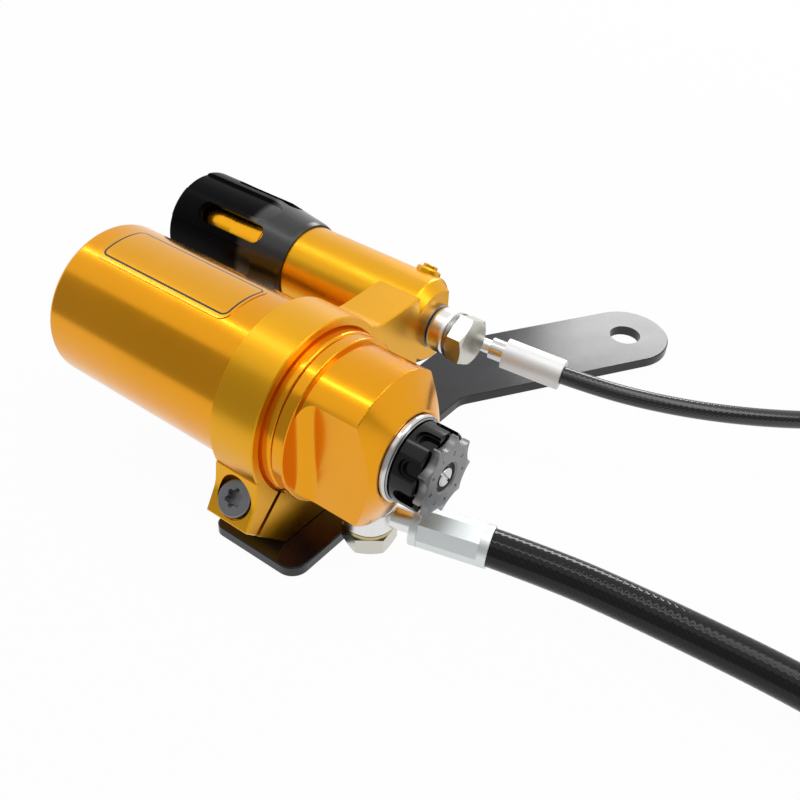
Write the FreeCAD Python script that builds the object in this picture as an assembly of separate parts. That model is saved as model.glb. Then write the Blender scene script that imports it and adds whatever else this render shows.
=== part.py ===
import FreeCAD, Part
import math
import os

# Remote reservoir and hydraulic preload unit of a motorcycle rear shock, in millimetres.
# The reservoir axis is local X, with the adjuster end at +X and the clamp's front face at x = 0.
# The bracket lies level under the clamp and +Z is up.
# Every node moves by the same shift at the end, which puts the row origin on the bracket hole.

V = FreeCAD.Vector
X = V(1, 0, 0)
Y = V(0, 1, 0)
Z = V(0, 0, 1)

# Named clearances
running_gap = 0.05
seat_gap = 0.02
flange_gap = 0.1
knob_gap = 0.35
free_gap = 0.4

# Reservoir tube and the seal grooves of what fits inside it
tube_r = 23.0
tube_wall = 2.5
tube_bore_r = tube_r - tube_wall
tube_back_x = -80.0
tube_front_x = 3.2
seal_depth = 2.1
seal_width = 2.6
tube_groove_r = tube_bore_r - seal_depth

# Clamp body
clamp_width = 14.0
ring_wall = 3.0
ring_r = tube_r + ring_wall
foot_drop = 10.5
foot_z = -ring_r - foot_drop
foot_left_y = -15.2
foot_right_y = 20.0
ear_reach = 3.5
ear_rise = 3.8
ear_corner_y = -ring_r - ear_reach
ear_corner_z = -ring_r + ear_rise
slit_width = 1.5
slit_deg = 225.0

# Pinch screw across the slit, a low-head M6 with a star recess
pinch_x = -6.8
pinch_wall = 3.9
pinch_head_back = 7.57
pinch_head_r = 5.0
pinch_head_height = 4.0
pinch_shank_r = 3.0
pinch_length = 20.0

# Hydraulic preload barrel, its axis parallel to the reservoir
barrel_r = 13.1
barrel_wall = 4.1
barrel_bore_r = barrel_r - barrel_wall
barrel_gap = 10.5
barrel_y = ring_r + barrel_gap + barrel_r
barrel_z = 0.5
barrel_front_wall = 5.0
barrel_bevel = 2.5
barrel_bevel_length = 3.0
barrel_flat = 6.2
barrel_flat_length = 4.5
bleed_x = -9.0
bleed_deg = 52.0
bleed_boss_r = 3.7
bleed_boss_rise = 1.3
bleed_head_r = 2.2
bleed_head_height = 1.0
bleed_shank_r = 1.3
bleed_length = 3.6

# Bridge between the clamp ring and the barrel
bridge_top_z = barrel_z + barrel_r + 0.3
bridge_bottom_z = barrel_z - 9.5
bridge_end_y = barrel_y - 8.1
pocket_r = 7.8
pocket_x = -10.2

# Bracket plate
plate_thickness = 3.5
plate_left_x = -20.3
plate_right_x = 9.4
plate_near_y = -22.3
plate_side_length = 30.0
root_x = 0.3
hole_x = 24.0
hole_y = 133.0
bracket_hole_r = 5.25
arm_width = 29.6
arm_deg = 58.0
foot_screw_x = -clamp_width / 2
foot_screw_y = [-4.0, 12.0]
foot_screw_r = 2.5
foot_screw_head_r = 4.6
foot_screw_reach = 9.0

# Reservoir head
spigot_length = 9.0
groove_back = 5.0
flange_width = 3.6
flange_inset = 0.2
head_inset = 1.45
head_length = 16.4
cone_length = 4.7
head_flange_r = tube_r - flange_inset
head_flange_x = tube_front_x + flange_gap
head_step_x = head_flange_x + flange_width
head_r = tube_r - head_inset
head_cone_x = head_step_x + head_length
head_face_x = head_cone_x + cone_length
head_flat_y = 14.5
head_flat_fillet = 4.0
port_r = 6.0

# Adjuster insert, its bezel and its two knobs
cartridge_r = 9.4
nose_r = 7.4
stem_r = 3.0
needle_r = 1.95
needle_tip_r = 1.25
bezel_wall = 2.5
bezel_r = cartridge_r + bezel_wall
bezel_sunk = 0.8
bezel_width = 2.8
bezel_back_x = head_face_x - bezel_sunk
bezel_front_x = bezel_back_x + bezel_width
head_cone_end_r = bezel_r + 0.8
black_knob_r = 11.0
black_knob_length = 6.75
black_knob_back_x = bezel_front_x + knob_gap
black_knob_front_x = black_knob_back_x + black_knob_length
black_knob_notches = 8
notch_width = 4.4
notch_depth = 1.9
dial_tip_r = 10.9
dial_thickness = 2.3
dial_back_x = black_knob_front_x + free_gap
dial_front_x = dial_back_x + dial_thickness
dial_lobes = 9
scallop_r = 4.7
scallop_out = 2.5
dial_recess_r = 3.9
dial_recess = 1.5
dial_screw_r = 2.6
dial_screw_shank_r = 1.5

# Shim chamber inside the adjuster insert
chamber_r = 8.0
chamber_core_r = 5.0
chamber_back_x = 10.5
chamber_front_x = 21.0
press_ring_width = 3.0
shim_count = 5
shim_thickness = 0.4
shim_first_r = 5.6
shim_growth = 0.5

# Main banjo under the head, its bolt axis parallel to Z
banjo_x = head_step_x + 9.8
banjo_seat_depth = 1.25
banjo_seat_z = -head_r + banjo_seat_depth
banjo_washer = 1.0
banjo_eye_r = 7.2
banjo_eye_height = 7.4
banjo_bolt_r = 5.0
banjo_washer_r = 6.9
main_hex_flats = 13.0
main_hex_height = 5.8
main_hex_turn = 22.0
main_bolt_length = 18.4
main_hose_r = 5.2
main_ferrule_r = 5.8
main_ferrule_length = 20.5
main_far_ferrule_length = 20.0
main_neck_r = 3.1
neck_insert = 3.5
neck_shown = 5.0
hose_insert = 0.6

# Preload banjo on the barrel's front face, its bolt axis parallel to X
preload_washer = 1.0
preload_washer_r = 6.7
preload_eye_r = 6.6
preload_eye_width = 6.0
preload_bolt_r = 4.0
preload_hex_flats = 13.0
preload_hex_height = 5.4
preload_hex_turn = 0.0
preload_bolt_length = 15.5
preload_neck_r = 2.1
preload_neck_insert = 6.0
preload_sleeve_r = 3.15
preload_sleeve_length = 4.4
preload_ferrule_r = 4.5
preload_ferrule_length = 17.0
preload_hose_r = 2.6

# Preload knob, which turns on the barrel's back end
preload_knob_length = 45.2
preload_knob_lip_x = -47.8
preload_knob_back_x = preload_knob_lip_x - preload_knob_length
preload_knob_wall = 2.6
preload_knob_back_wall = 3.0
preload_knob_bore_r = barrel_r + free_gap
preload_knob_r = preload_knob_bore_r + preload_knob_wall
preload_knob_taper = 16.0
preload_knob_taper_x = preload_knob_lip_x - preload_knob_taper
preload_knob_lip_wall = 0.7
preload_knob_bearing = 6.2
preload_knob_overlap = 12.2
barrel_back_x = preload_knob_lip_x - preload_knob_overlap
flute_count = 5
flute_width = 10.3
flute_depth = 0.9
flute_end_x = preload_knob_taper_x + 5.3
first_flute_deg = 96.7
window_width = 6.3
window_back_x = preload_knob_back_x + 9.8
window_front_x = preload_knob_lip_x - 9.8
window_turn = 34.2

# Gold guide inside the knob
guide_inset = 1.0
guide_r = barrel_r - guide_inset
guide_back_x = window_back_x - 0.9
guide_cone_x = window_back_x + 11.2
guide_sleeve_length = 18.0
detent_x = guide_back_x + 2.5
detent_r = 1.4
detent_floor_r = 5.6

# Preload screw and piston
piston_stroke = 12.0
spindle_r = 4.0
knob_screw_neck_r = 2.4
knob_screw_r = 1.5
knob_screw_head_r = 4.2
knob_screw_depth = 11.0
piston_back_x = barrel_back_x + guide_sleeve_length + 8.0
piston_length = 10.0
piston_front_x = piston_back_x + piston_length
piston_nose = 4.0
piston_nose_r = 6.4
piston_seal_depth = 2.0
piston_seal_width = 2.2
piston_groove_r = barrel_bore_r - piston_seal_depth

# Floating gas piston
floating_back_x = -46.0
floating_length = 12.0
band_depth = 1.2
band_width = 3.0
floating_dish_r = 14.0
floating_dish_floor_r = 12.0
floating_dish_depth = 6.0

# End cap, its clip and its filling valve
cap_inset = 2.0
cap_length = 7.5
cap_back_x = tube_back_x + cap_inset
cap_front_x = cap_back_x + cap_length
cap_recess_r = 8.0
cap_recess = 4.0
valve_bore_r = 3.0
valve_shoulder_r = 4.6
valve_stem_r = 2.2
valve_cap_r = 3.4
clip_width = 1.55
clip_depth = 2.25
clip_mouth = 7.0

# Label plate
label_back_x = -74.2
label_front_x = -24.5
label_half_deg = 22.5
label_thickness = 0.2

# Main hose route, from its ferrule to the far ferrule
main_route = [
    V(48.2, 9.85, -26.21),
    V(66.6, 14.7, -27.0),
    V(85.4, 17.7, -27.9),
    V(104.5, 20.0, -28.7),
    V(123.6, 21.9, -29.5),
    V(142.8, 22.6, -30.2),
    V(162.0, 22.0, -30.8),
    V(181.0, 19.8, -31.2),
]

# Preload hose route, from its ferrule to the far ferrule
preload_route = [
    V(34.6, 64.0, -8.4),
    V(46.2, 67.3, -9.6),
    V(58.2, 72.7, -11.1),
    V(70.6, 80.2, -12.8),
    V(83.0, 89.4, -14.4),
    V(94.6, 99.8, -16.0),
    V(105.0, 111.6, -17.8),
    V(114.0, 124.6, -19.6),
    V(121.2, 138.2, -21.15),
]

shift = V(-hole_x, -hole_y, -(foot_z - plate_thickness))


def rounded_wire(points, place):
    """A closed wire of straight runs, with a tangent arc at each point that has a radius."""
    flat = [V(p[0], p[1], 0) for p in points]
    radii = [p[2] if len(p) > 2 else 0 for p in points]
    starts, ends, arcs = [], [], []
    n = len(points)
    for i in range(n):
        before = (flat[i - 1] - flat[i]).normalize()
        after = (flat[(i + 1) % n] - flat[i]).normalize()
        if radii[i] <= 0:
            starts.append(flat[i])
            ends.append(flat[i])
            arcs.append(None)
            continue
        half = before.getAngle(after) / 2
        reach = radii[i] / math.tan(half)
        middle = (before + after).normalize()
        centre = flat[i] + middle * (radii[i] / math.sin(half))
        starts.append(flat[i] + before * reach)
        ends.append(flat[i] + after * reach)
        arcs.append(centre - middle * radii[i])
    edges = []
    for i in range(n):
        if arcs[i] is not None:
            edges.append(Part.Arc(place(starts[i]), place(arcs[i]), place(ends[i])).toShape())
        target = starts[(i + 1) % n]
        if (target - ends[i]).Length > 1e-6:
            edges.append(Part.LineSegment(place(ends[i]), place(target)).toShape())
    return Part.Wire(Part.__sortEdges__(edges))


def turned(points, y=0.0, z=0.0):
    """A body turned about an axis parallel to X, from (x, radius) points."""
    wire = rounded_wire(points, lambda p: V(p.x, y, z + p.y))
    return Part.Face(wire).revolve(V(0, y, z), X, 360)


def turned_z(points, x=0.0, y=0.0):
    """A body turned about a vertical axis, from (z, radius) points."""
    wire = rounded_wire(points, lambda p: V(x + p.y, y, p.x))
    return Part.Face(wire).revolve(V(x, y, 0), Z, 360)


def rod(r, start, end):
    """A plain cylinder between two points."""
    return Part.makeCylinder(r, (end - start).Length, start, end - start)


def ring(outer, inner, start, end):
    """A plain tube between two points."""
    return rod(outer, start, end).cut(rod(inner, start, end))


def prism_x(points, x0, x1):
    """An outline in the YZ plane drawn out along X."""
    wire = rounded_wire(points, lambda p: V(x0, p.x, p.y))
    return Part.Face(wire).extrude(V(x1 - x0, 0, 0))


def prism_z(points, z0, z1):
    """An outline in the XY plane drawn out along Z."""
    wire = rounded_wire(points, lambda p: V(p.x, p.y, z0))
    return Part.Face(wire).extrude(V(0, 0, z1 - z0))


def hexagon(flats, start, end, turn=0.0):
    """A hexagonal bar with its corners rounded off by a cone at the far end."""
    axis = (end - start).normalize()
    side = Z if abs(axis.z) < 0.9 else X
    side = (side - axis * side.dot(axis)).normalize()
    other = axis.cross(side)
    corner = flats / math.sqrt(3)
    points = []
    for i in range(7):
        a = math.radians(60 * i + turn)
        points.append(start + side * (corner * math.cos(a)) + other * (corner * math.sin(a)))
    bar = Part.Face(Part.makePolygon(points)).extrude(end - start)
    height = (end - start).Length
    cone_r = flats / 2 * 0.97
    drop = (corner - cone_r) * 0.55
    cap = Part.makeCone(corner + 0.01, cone_r, drop, start + axis * (height - drop), axis)
    body = rod(corner + 0.01, start, start + axis * (height - drop)).fuse(cap)
    return bar.common(body)


def route_wire(points, share=0.45):
    """Straight runs joined by tangent arcs, each radius set by the shorter of its two runs."""
    edges = []
    last = points[0]
    radii = []
    for i in range(1, len(points) - 1):
        before = points[i - 1] - points[i]
        after = points[i + 1] - points[i]
        reach = share * min(before.Length, after.Length)
        half = (math.pi - before.getAngle(after)) / 2
        radius = reach / math.tan(half)
        radii.append(radius)
        b = V(before).normalize()
        a = V(after).normalize()
        start = points[i] + b * reach
        end = points[i] + a * reach
        middle = (a + b).normalize()
        centre = points[i] + middle * (radius / math.cos(half))
        edges.append(Part.LineSegment(last, start).toShape())
        edges.append(Part.Arc(start, centre - middle * radius, end).toShape())
        last = end
    edges.append(Part.LineSegment(last, points[-1]).toShape())
    return Part.Wire(edges), radii


def swept(points, r, share=0.45):
    """A round bar swept along a route."""
    wire, radii = route_wire(points, share)
    along = (points[1] - points[0]).normalize()
    circle = Part.Wire(Part.Circle(points[0], along, r).toShape())
    shell = Part.BRepOffsetAPI.MakePipeShell(wire)
    shell.setTransitionMode(2)
    shell.add(circle)
    shell.build()
    shell.makeSolid()
    return shell.shape(), wire.Length, radii


def near_edges(shape, test):
    """The edges of a shape whose middle point passes a test."""
    found = []
    for edge in shape.Edges:
        middle = edge.valueAt((edge.FirstParameter + edge.LastParameter) / 2)
        if test(middle, edge):
            found.append(edge)
    return found


def softened(shape, radius, test, bevel=False):
    """The shape with the edges that pass a test rounded or bevelled."""
    edges = near_edges(shape, test)
    if not edges:
        return shape
    return shape.makeChamfer(radius, edges) if bevel else shape.makeFillet(radius, edges)


nodes = {}


def keep(name, shape):
    """Store a node's solid or solids under its name."""
    nodes[name] = shape


slit_turn = math.radians(slit_deg)
slit_out = V(0, math.cos(slit_turn), math.sin(slit_turn))
pinch_in = V(0, -slit_out.z, slit_out.y)
pinch_face = X * pinch_x + slit_out * (ring_r + pinch_wall) - pinch_in * pinch_head_back
barrel = V(0, barrel_y, barrel_z)


def make_clamp_body():
    """The clamp ring, its foot and bridge, and the preload barrel in one machined piece."""
    outline = [
        (ear_corner_y + 4.6, -8.5),
        (ear_corner_y + 3.9, -15.0, 9),
        (ear_corner_y, ear_corner_z, 0.4),
        (foot_left_y, foot_z, 0.8),
        (foot_right_y, foot_z, 1.5),
        (foot_right_y + 6, bridge_bottom_z - 4, 8),
        (bridge_end_y, bridge_bottom_z - 1, 0),
        (bridge_end_y, bridge_top_z, 0),
        (ring_r - 11.0, bridge_top_z, 0),
        (0, 0, 0),
    ]
    block = prism_x(outline, -clamp_width, 0)
    body = rod(ring_r, V(-clamp_width, 0, 0), V(0, 0, 0)).fuse(block).removeSplitter()
    bend_y = math.sqrt(ring_r ** 2 - bridge_top_z ** 2)
    body = softened(body, 6.0, lambda m, e: abs(m.y - bend_y) < 0.3 and abs(m.z - bridge_top_z) < 0.3)
    body = softened(body, 0.35, lambda m, e: abs(m.x) < 0.01 and m.y < bridge_end_y - 0.5, True)
    body = body.fuse(make_barrel_blank()).removeSplitter()
    pocket = Part.makeCylinder(pocket_r, 40, V(pocket_x, bridge_end_y - 5.5, -20), Z)
    body = body.cut(pocket.common(Part.makeBox(20, 40, 40, V(-clamp_width - 20, 15, -20))))
    body = body.cut(rod(tube_r + seat_gap, V(-clamp_width - 1, 0, 0), V(1, 0, 0)))
    body = body.cut(Part.makeCone(tube_r, tube_r + 0.7, 0.7, V(-0.7, 0, 0), X))
    body = body.cut(slit_cutter())
    body = body.cut(pinch_cutter())
    for y in foot_screw_y:
        low = V(foot_screw_x, y, foot_z - 1)
        body = body.cut(rod(foot_screw_r + seat_gap, low, low + Z * (foot_screw_reach + 1.5)))
    body = body.fuse(make_bleed_boss())
    body = body.cut(turned(barrel_bore_points(), barrel_y, barrel_z))
    bolt_hole = rod(preload_bolt_r + seat_gap, barrel - X * (barrel_front_wall + 3), barrel + X)
    body = body.cut(bolt_hole)
    at, out = bleed_frame()
    return body.cut(rod(bleed_shank_r + seat_gap, at - out * 8, at + out))


def make_barrel_blank():
    """The outside of the preload barrel, with its far side milled flat near the front."""
    blank = turned([
        (barrel_back_x, 0),
        (barrel_back_x, barrel_r, 0.5),
        (-barrel_bevel_length, barrel_r, 1.5),
        (0, barrel_r - barrel_bevel, 0.3),
        (0, 0),
    ], barrel_y, barrel_z)
    flat_y = barrel_y + barrel_flat
    side = [(flat_y, -30), (flat_y + 24, -30), (flat_y + 24, 30), (flat_y, 30, 3)]
    return blank.cut(prism_x(side, -barrel_flat_length, 1))


def barrel_bore_points():
    """The oil chamber behind the barrel's front wall, with a drilled cone at its end."""
    return [
        (barrel_back_x - 1, 0),
        (barrel_back_x - 1, barrel_bore_r),
        (-barrel_front_wall - 3, barrel_bore_r),
        (-barrel_front_wall, 0),
    ]


def slit_cutter():
    """The clamp's slit, which runs out from the bore at the lower near side."""
    start = tube_r - 8
    corner = V(-clamp_width - 1, start, -slit_width / 2)
    slot = Part.makeBox(clamp_width + 2, ring_wall + 23, slit_width, corner)
    slot.rotate(V(0, 0, 0), X, slit_deg)
    return slot


def pinch_cutter():
    """The counterbore and the hole of the pinch screw."""
    seat = pinch_face + pinch_in * pinch_head_height
    well = rod(pinch_head_r + 0.6, pinch_face - pinch_in * 14, seat)
    shank = rod(pinch_shank_r + seat_gap, pinch_face, seat + pinch_in * pinch_length)
    return well.fuse(shank)


def make_pinch_screw():
    """The screw that closes the clamp's slit."""
    seat = pinch_face + pinch_in * pinch_head_height
    head = rod(pinch_head_r, pinch_face, seat)
    head = softened(head, 0.5, lambda m, e: (m - pinch_face).dot(pinch_in) < 0.1)
    head = head.cut(star_socket(pinch_face, pinch_in, 2.6, 2.2))
    shank = rod(pinch_shank_r, seat, seat + pinch_in * (pinch_length - 1))
    return head.fuse(shank)


def star_socket(centre, inward, size, depth):
    """A six-lobed star recess."""
    side = X
    other = inward.cross(side)
    tool = rod(size * 0.78, centre - inward, centre + inward * depth)
    for i in range(6):
        a = math.radians(60 * i + 30)
        at = centre + side * (size * 0.78 * math.cos(a)) + other * (size * 0.78 * math.sin(a))
        tool = tool.fuse(rod(size * 0.26, at - inward, at + inward * depth))
    return tool


def bleed_frame():
    """The bleed screw's seat on its boss and the way that it points."""
    a = math.radians(bleed_deg)
    outward = V(0, math.cos(a), math.sin(a))
    return barrel + X * bleed_x + outward * (barrel_r + bleed_boss_rise), outward


def make_bleed_boss():
    """The low round boss under the bleed screw."""
    at, out = bleed_frame()
    boss = rod(bleed_boss_r, at - out * (bleed_boss_rise + barrel_wall / 2), at)
    return softened(boss, 0.7, lambda m, e: (m - at).dot(out) > -0.01)


def make_bleed_screw():
    """The small screw that lets air out of the preload chamber."""
    at, out = bleed_frame()
    top = at + out * bleed_head_height
    head = rod(bleed_head_r, at, top)
    head = softened(head, 0.3, lambda m, e: (m - at).dot(out) > bleed_head_height - 0.1)
    head = head.fuse(rod(bleed_shank_r, at - out * bleed_length, at))
    return head.cut(star_socket(top, V(0, 0, 0) - out, 1.1, 0.7))


def make_bracket_plate():
    """The flat plate under the clamp, and its arm with the bolt hole."""
    low = foot_z - plate_thickness
    end_r = arm_width / 2
    along = V(math.cos(math.radians(arm_deg)), math.sin(math.radians(arm_deg)), 0)
    across = V(along.y, -along.x, 0)
    centre = V(hole_x, hole_y, 0)
    near = centre + across * end_r
    far = centre - across * end_r
    root_near = near - along * ((near.x - root_x) / along.x)
    root_far = far - along * ((far.x - plate_left_x) / along.x)
    outline = [
        (plate_left_x, plate_near_y, 3.0),
        (plate_right_x, plate_near_y, 5.0),
        (plate_right_x, plate_near_y + plate_side_length, 6.0),
        (root_x, plate_near_y + plate_side_length + 16, 12.0),
        (root_x, root_near.y, 8.0),
        (near.x + along.x * end_r, near.y + along.y * end_r, end_r - 0.01),
        (far.x + along.x * end_r, far.y + along.y * end_r, end_r - 0.01),
        (root_far.x, root_far.y, 20.0),
    ]
    plate = prism_z(outline, low, foot_z)
    plate = softened(plate, 0.35, lambda m, e: abs(m.z - foot_z) < 0.01 or abs(m.z - low) < 0.01, True)
    plate = plate.cut(rod(bracket_hole_r, V(hole_x, hole_y, low - 1), V(hole_x, hole_y, foot_z + 1)))
    for y in foot_screw_y:
        plate = plate.cut(foot_screw(y, 0.03))
    return plate


def foot_screw(y, grow=0.0):
    """A countersunk screw, or with grow the hole that it sits in."""
    low = foot_z - plate_thickness
    top = foot_z + foot_screw_reach
    points = [
        (low - (0.5 if grow else 0), 0),
        (low - (0.5 if grow else 0), foot_screw_head_r + grow),
        (low + 0.3, foot_screw_head_r + grow),
        (low + 0.3 + foot_screw_head_r - foot_screw_r, foot_screw_r + grow),
        (top, foot_screw_r + grow),
        (top, 0),
    ]
    return turned_z(points, foot_screw_x, y)


def make_foot_screws():
    """The two screws that hold the plate to the clamp's foot."""
    low = foot_z - plate_thickness
    made = []
    for y in foot_screw_y:
        screw = foot_screw(y)
        screw = screw.cut(star_socket(V(foot_screw_x, y, low), Z, 2.0, 1.6))
        made.append(screw)
    return Part.makeCompound(made)


def make_reservoir_tube():
    """The plain tube with its rounded rims."""
    return turned([
        (tube_back_x, tube_bore_r),
        (tube_back_x, tube_r, 1.4),
        (tube_front_x, tube_r, 0.8),
        (tube_front_x, tube_bore_r),
    ])


def make_reservoir_head():
    """The head, with its spigot, flange, two flats and cone, and the seat of the main banjo."""
    spigot_r = tube_bore_r - running_gap
    body = turned([
        (-spigot_length, 0),
        (-spigot_length, spigot_r, 0.5),
        (-groove_back, spigot_r),
        (-groove_back, tube_groove_r),
        (seal_width - groove_back, tube_groove_r),
        (seal_width - groove_back, spigot_r),
        (head_flange_x, spigot_r),
        (head_flange_x, head_flange_r, 0.5),
        (head_step_x, head_flange_r, 0.4),
        (head_step_x, head_r),
        (head_cone_x, head_r, 0.3),
        (head_face_x, head_cone_end_r, 0.3),
        (head_face_x, bezel_r + 0.3),
        (bezel_back_x, bezel_r + 0.3),
        (bezel_back_x, 0),
    ])
    corner = (head_step_x, head_flat_y, head_flat_fillet)
    cutter = [(head_step_x, 40), corner, (head_face_x + 12, head_flat_y), (head_face_x + 12, 40)]
    for side in (1, -1):
        tool = prism_z([(p[0], p[1] * side) + tuple(p[2:]) for p in cutter], -40, 40)
        body = body.cut(tool)
    body = body.cut(rod(cartridge_r + seat_gap, V(-3.0, 0, 0), V(head_face_x + 12, 0, 0)))
    body = body.cut(rod(port_r, V(-spigot_length - 1, 0, 0), V(0, 0, 0)))
    seat = V(banjo_x, 0, banjo_seat_z)
    deep = V(banjo_x, 0, -tube_r - 17)
    body = body.cut(rod(banjo_washer_r + free_gap * 2, seat, deep))
    return body.cut(rod(banjo_bolt_r + seat_gap, V(banjo_x, 0, -cartridge_r), deep))


def o_ring(x, groove_r, bore_r, y=0.0, z=0.0):
    """A seal that sits in its groove and just meets the bore."""
    r = (bore_r - groove_r) / 2 - 0.02
    seal = Part.makeTorus((bore_r + groove_r) / 2, r, V(x, y, z), X)
    return seal


def make_cartridge():
    """The adjuster insert in the head, bored for both adjusters and the shims."""
    nose_x = black_knob_front_x - free_gap
    body = turned([
        (-2.9, 0),
        (-2.9, cartridge_r, 0.4),
        (bezel_front_x - free_gap, cartridge_r),
        (bezel_front_x - free_gap, nose_r),
        (nose_x, nose_r, 0.3),
        (nose_x, 0),
    ])
    stem_hole = rod(stem_r + running_gap, V(chamber_back_x - 1.5, 0, 0), V(dial_front_x, 0, 0))
    body = body.cut(stem_hole)
    body = body.cut(rod(needle_r + running_gap, V(-5, 0, 0), V(chamber_back_x, 0, 0)))
    body = body.cut(ring(chamber_r, chamber_core_r, V(chamber_back_x, 0, 0), V(chamber_front_x, 0, 0)))
    port = rod(1.6, V(banjo_x, 0, -cartridge_r - 2), V(banjo_x, 0, -stem_r - free_gap))
    return body.cut(port)


def make_bezel():
    """The polished ring between the head and the black knob."""
    return turned([
        (bezel_back_x, cartridge_r + seat_gap),
        (bezel_back_x, bezel_r),
        (bezel_front_x - 0.9, bezel_r, 0.5),
        (bezel_front_x, bezel_r - 0.75, 0.3),
        (bezel_front_x, cartridge_r + seat_gap),
    ])


def make_high_speed_knob():
    """The knob that turns round the insert's nose, with a stepped notch between its grips."""
    bore_r = nose_r + running_gap
    body = turned([
        (black_knob_back_x, bore_r),
        (black_knob_back_x, black_knob_r, 0.3),
        (black_knob_front_x, black_knob_r, 0.4),
        (black_knob_front_x, bore_r),
    ])
    for i in range(black_knob_notches):
        deep = notch_tool(notch_width - 1.0, notch_depth, 2.2)
        wide = notch_tool(notch_width, notch_depth * 0.45, 1.4)
        for tool in (deep, wide):
            tool.rotate(V(0, 0, 0), X, 360 / black_knob_notches * i + 11)
            body = body.cut(tool)
    return body


def notch_tool(width, depth, back):
    """A notch that is round at its back and open at the knob's front."""
    half = width / 2
    low = black_knob_r - depth
    start = black_knob_back_x + back + half
    box = Part.makeBox(black_knob_length, width, depth + 2, V(start, -half, low))
    return box.fuse(Part.makeCylinder(half, depth + 2, V(start, 0, low), Z))


def make_high_speed_ring():
    """The ring that presses on the shims."""
    start = chamber_back_x + 0.5
    ends = V(start, 0, 0), V(start + press_ring_width, 0, 0)
    return ring(chamber_r - running_gap, chamber_core_r + running_gap, *ends)


def make_shim_stack():
    """Thin shims that lie on each other against the chamber's end."""
    made = []
    for i in range(shim_count):
        start = chamber_front_x - shim_thickness * (shim_count - i)
        ends = V(start, 0, 0), V(start + shim_thickness, 0, 0)
        made.append(ring(shim_first_r + shim_growth * i, chamber_core_r + 0.2, *ends))
    return Part.makeCompound(made)


def make_dial():
    """The scalloped dial and the hollow stem that it turns."""
    body = turned([
        (dial_back_x, 0),
        (dial_back_x, dial_tip_r, 0.2),
        (dial_front_x - 0.4, dial_tip_r, 0.2),
        (dial_front_x, dial_tip_r - 2.6, 0.4),
        (dial_front_x, dial_recess_r + 0.4, 0.2),
        (dial_front_x - 0.4, dial_recess_r),
        (dial_front_x - dial_recess, dial_recess_r),
        (dial_front_x - dial_recess, 0),
    ])
    reach = dial_tip_r + scallop_out
    for i in range(dial_lobes):
        a = math.radians(360 / dial_lobes * i + 8)
        at = V(dial_back_x - 1, reach * math.cos(a), reach * math.sin(a))
        body = body.cut(rod(scallop_r, at, at + X * (dial_thickness + 2)))
    stem = rod(stem_r, V(chamber_back_x + 5.5, 0, 0), V(dial_back_x + 0.2, 0, 0))
    body = body.fuse(stem)
    body = body.cut(rod(needle_tip_r + running_gap, V(chamber_back_x, 0, 0), V(chamber_back_x + 15.5, 0, 0)))
    return body.cut(rod(dial_screw_shank_r + seat_gap, V(dial_back_x - 7, 0, 0), V(dial_front_x + 1, 0, 0)))


def make_dial_screw():
    """The slotted screw in the dial's recess."""
    face = dial_front_x - dial_recess
    top = face + dial_recess - 0.2
    head = turned([(face, 0), (face, dial_screw_r), (top, dial_screw_r, 0.4), (top, 0)])
    head = head.fuse(rod(dial_screw_shank_r, V(dial_back_x - 6, 0, 0), V(face, 0, 0)))
    slot = Part.makeBox(1.0, 0.8, dial_screw_r * 3, V(top - 0.6, -0.4, -dial_screw_r * 1.5))
    slot.rotate(V(0, 0, 0), X, 35)
    return head.cut(slot)


def make_needle():
    """The needle inside the dial's stem."""
    start = -2.0
    shoulder = chamber_back_x - 1.5
    tip = chamber_back_x + 11.5
    return turned([
        (start, 0),
        (start + 4.0, needle_r),
        (shoulder, needle_r),
        (shoulder, needle_tip_r),
        (tip, needle_tip_r),
        (tip, 0),
    ])


def make_banjo_bolt(axis_at, inward, seal_r, shank_r, flats, height, length, turn):
    """A hollow banjo bolt. axis_at is the point under its head."""
    head_end = axis_at - inward * height
    collar = rod(seal_r, axis_at, axis_at - inward * 0.8)
    head = hexagon(flats, axis_at - inward * 0.6, head_end, turn).fuse(collar)
    shank = rod(shank_r, axis_at, axis_at + inward * length)
    bolt = head.fuse(shank).removeSplitter()
    bolt = bolt.cut(rod(shank_r * 0.45, axis_at + inward * 3, axis_at + inward * (length + 1)))
    return bolt


def main_bolt_seat():
    """The height at which the main banjo bolt's head sits."""
    return banjo_seat_z - 2 * banjo_washer - banjo_eye_height


def make_main_bolt():
    """The hollow bolt of the main banjo."""
    at = V(banjo_x, 0, main_bolt_seat())
    collar_r = banjo_washer_r - 0.6
    sizes = main_hex_flats, main_hex_height, main_bolt_length, main_hex_turn
    return make_banjo_bolt(at, Z, collar_r, banjo_bolt_r, *sizes)


def make_main_washers():
    """The two sealing washers, one on each side of the main eye."""
    first = V(banjo_x, 0, banjo_seat_z)
    second = V(banjo_x, 0, banjo_seat_z - banjo_washer - banjo_eye_height)
    made = []
    for at in (first, second):
        washer = ring(banjo_washer_r, banjo_bolt_r + 0.1, at, at - Z * banjo_washer)
        made.append(washer)
    return Part.makeCompound(made)


def main_eye_centre():
    """The middle of the main banjo's eye."""
    return V(banjo_x, 0, banjo_seat_z - banjo_washer - banjo_eye_height / 2)


def neck_direction():
    """The way the main hose leaves its eye."""
    return (main_route[0] - main_eye_centre()).normalize()


def make_eye(centre, axis, height, outer, hole, points, neck_r, soft=0.9):
    """A banjo eye with its neck, drilled through from neck to bolt."""
    low = centre - axis * (height / 2)
    high = centre + axis * (height / 2)
    eye = rod(outer, low, high)
    eye = softened(eye, soft, lambda m, e: abs(abs((m - centre).dot(axis)) - height / 2) < 0.01)
    neck = swept(points, neck_r, 0.49)[0] if len(points) > 2 else rod(neck_r, points[0], points[1])
    body = eye.fuse(neck)
    body = body.cut(rod(hole + 0.1, low - axis, high + axis))
    deep = points[1] if len(points) == 2 else centre + (points[1] - centre) * 0.8
    return body.cut(rod(neck_r * 0.45, centre, deep))


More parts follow.
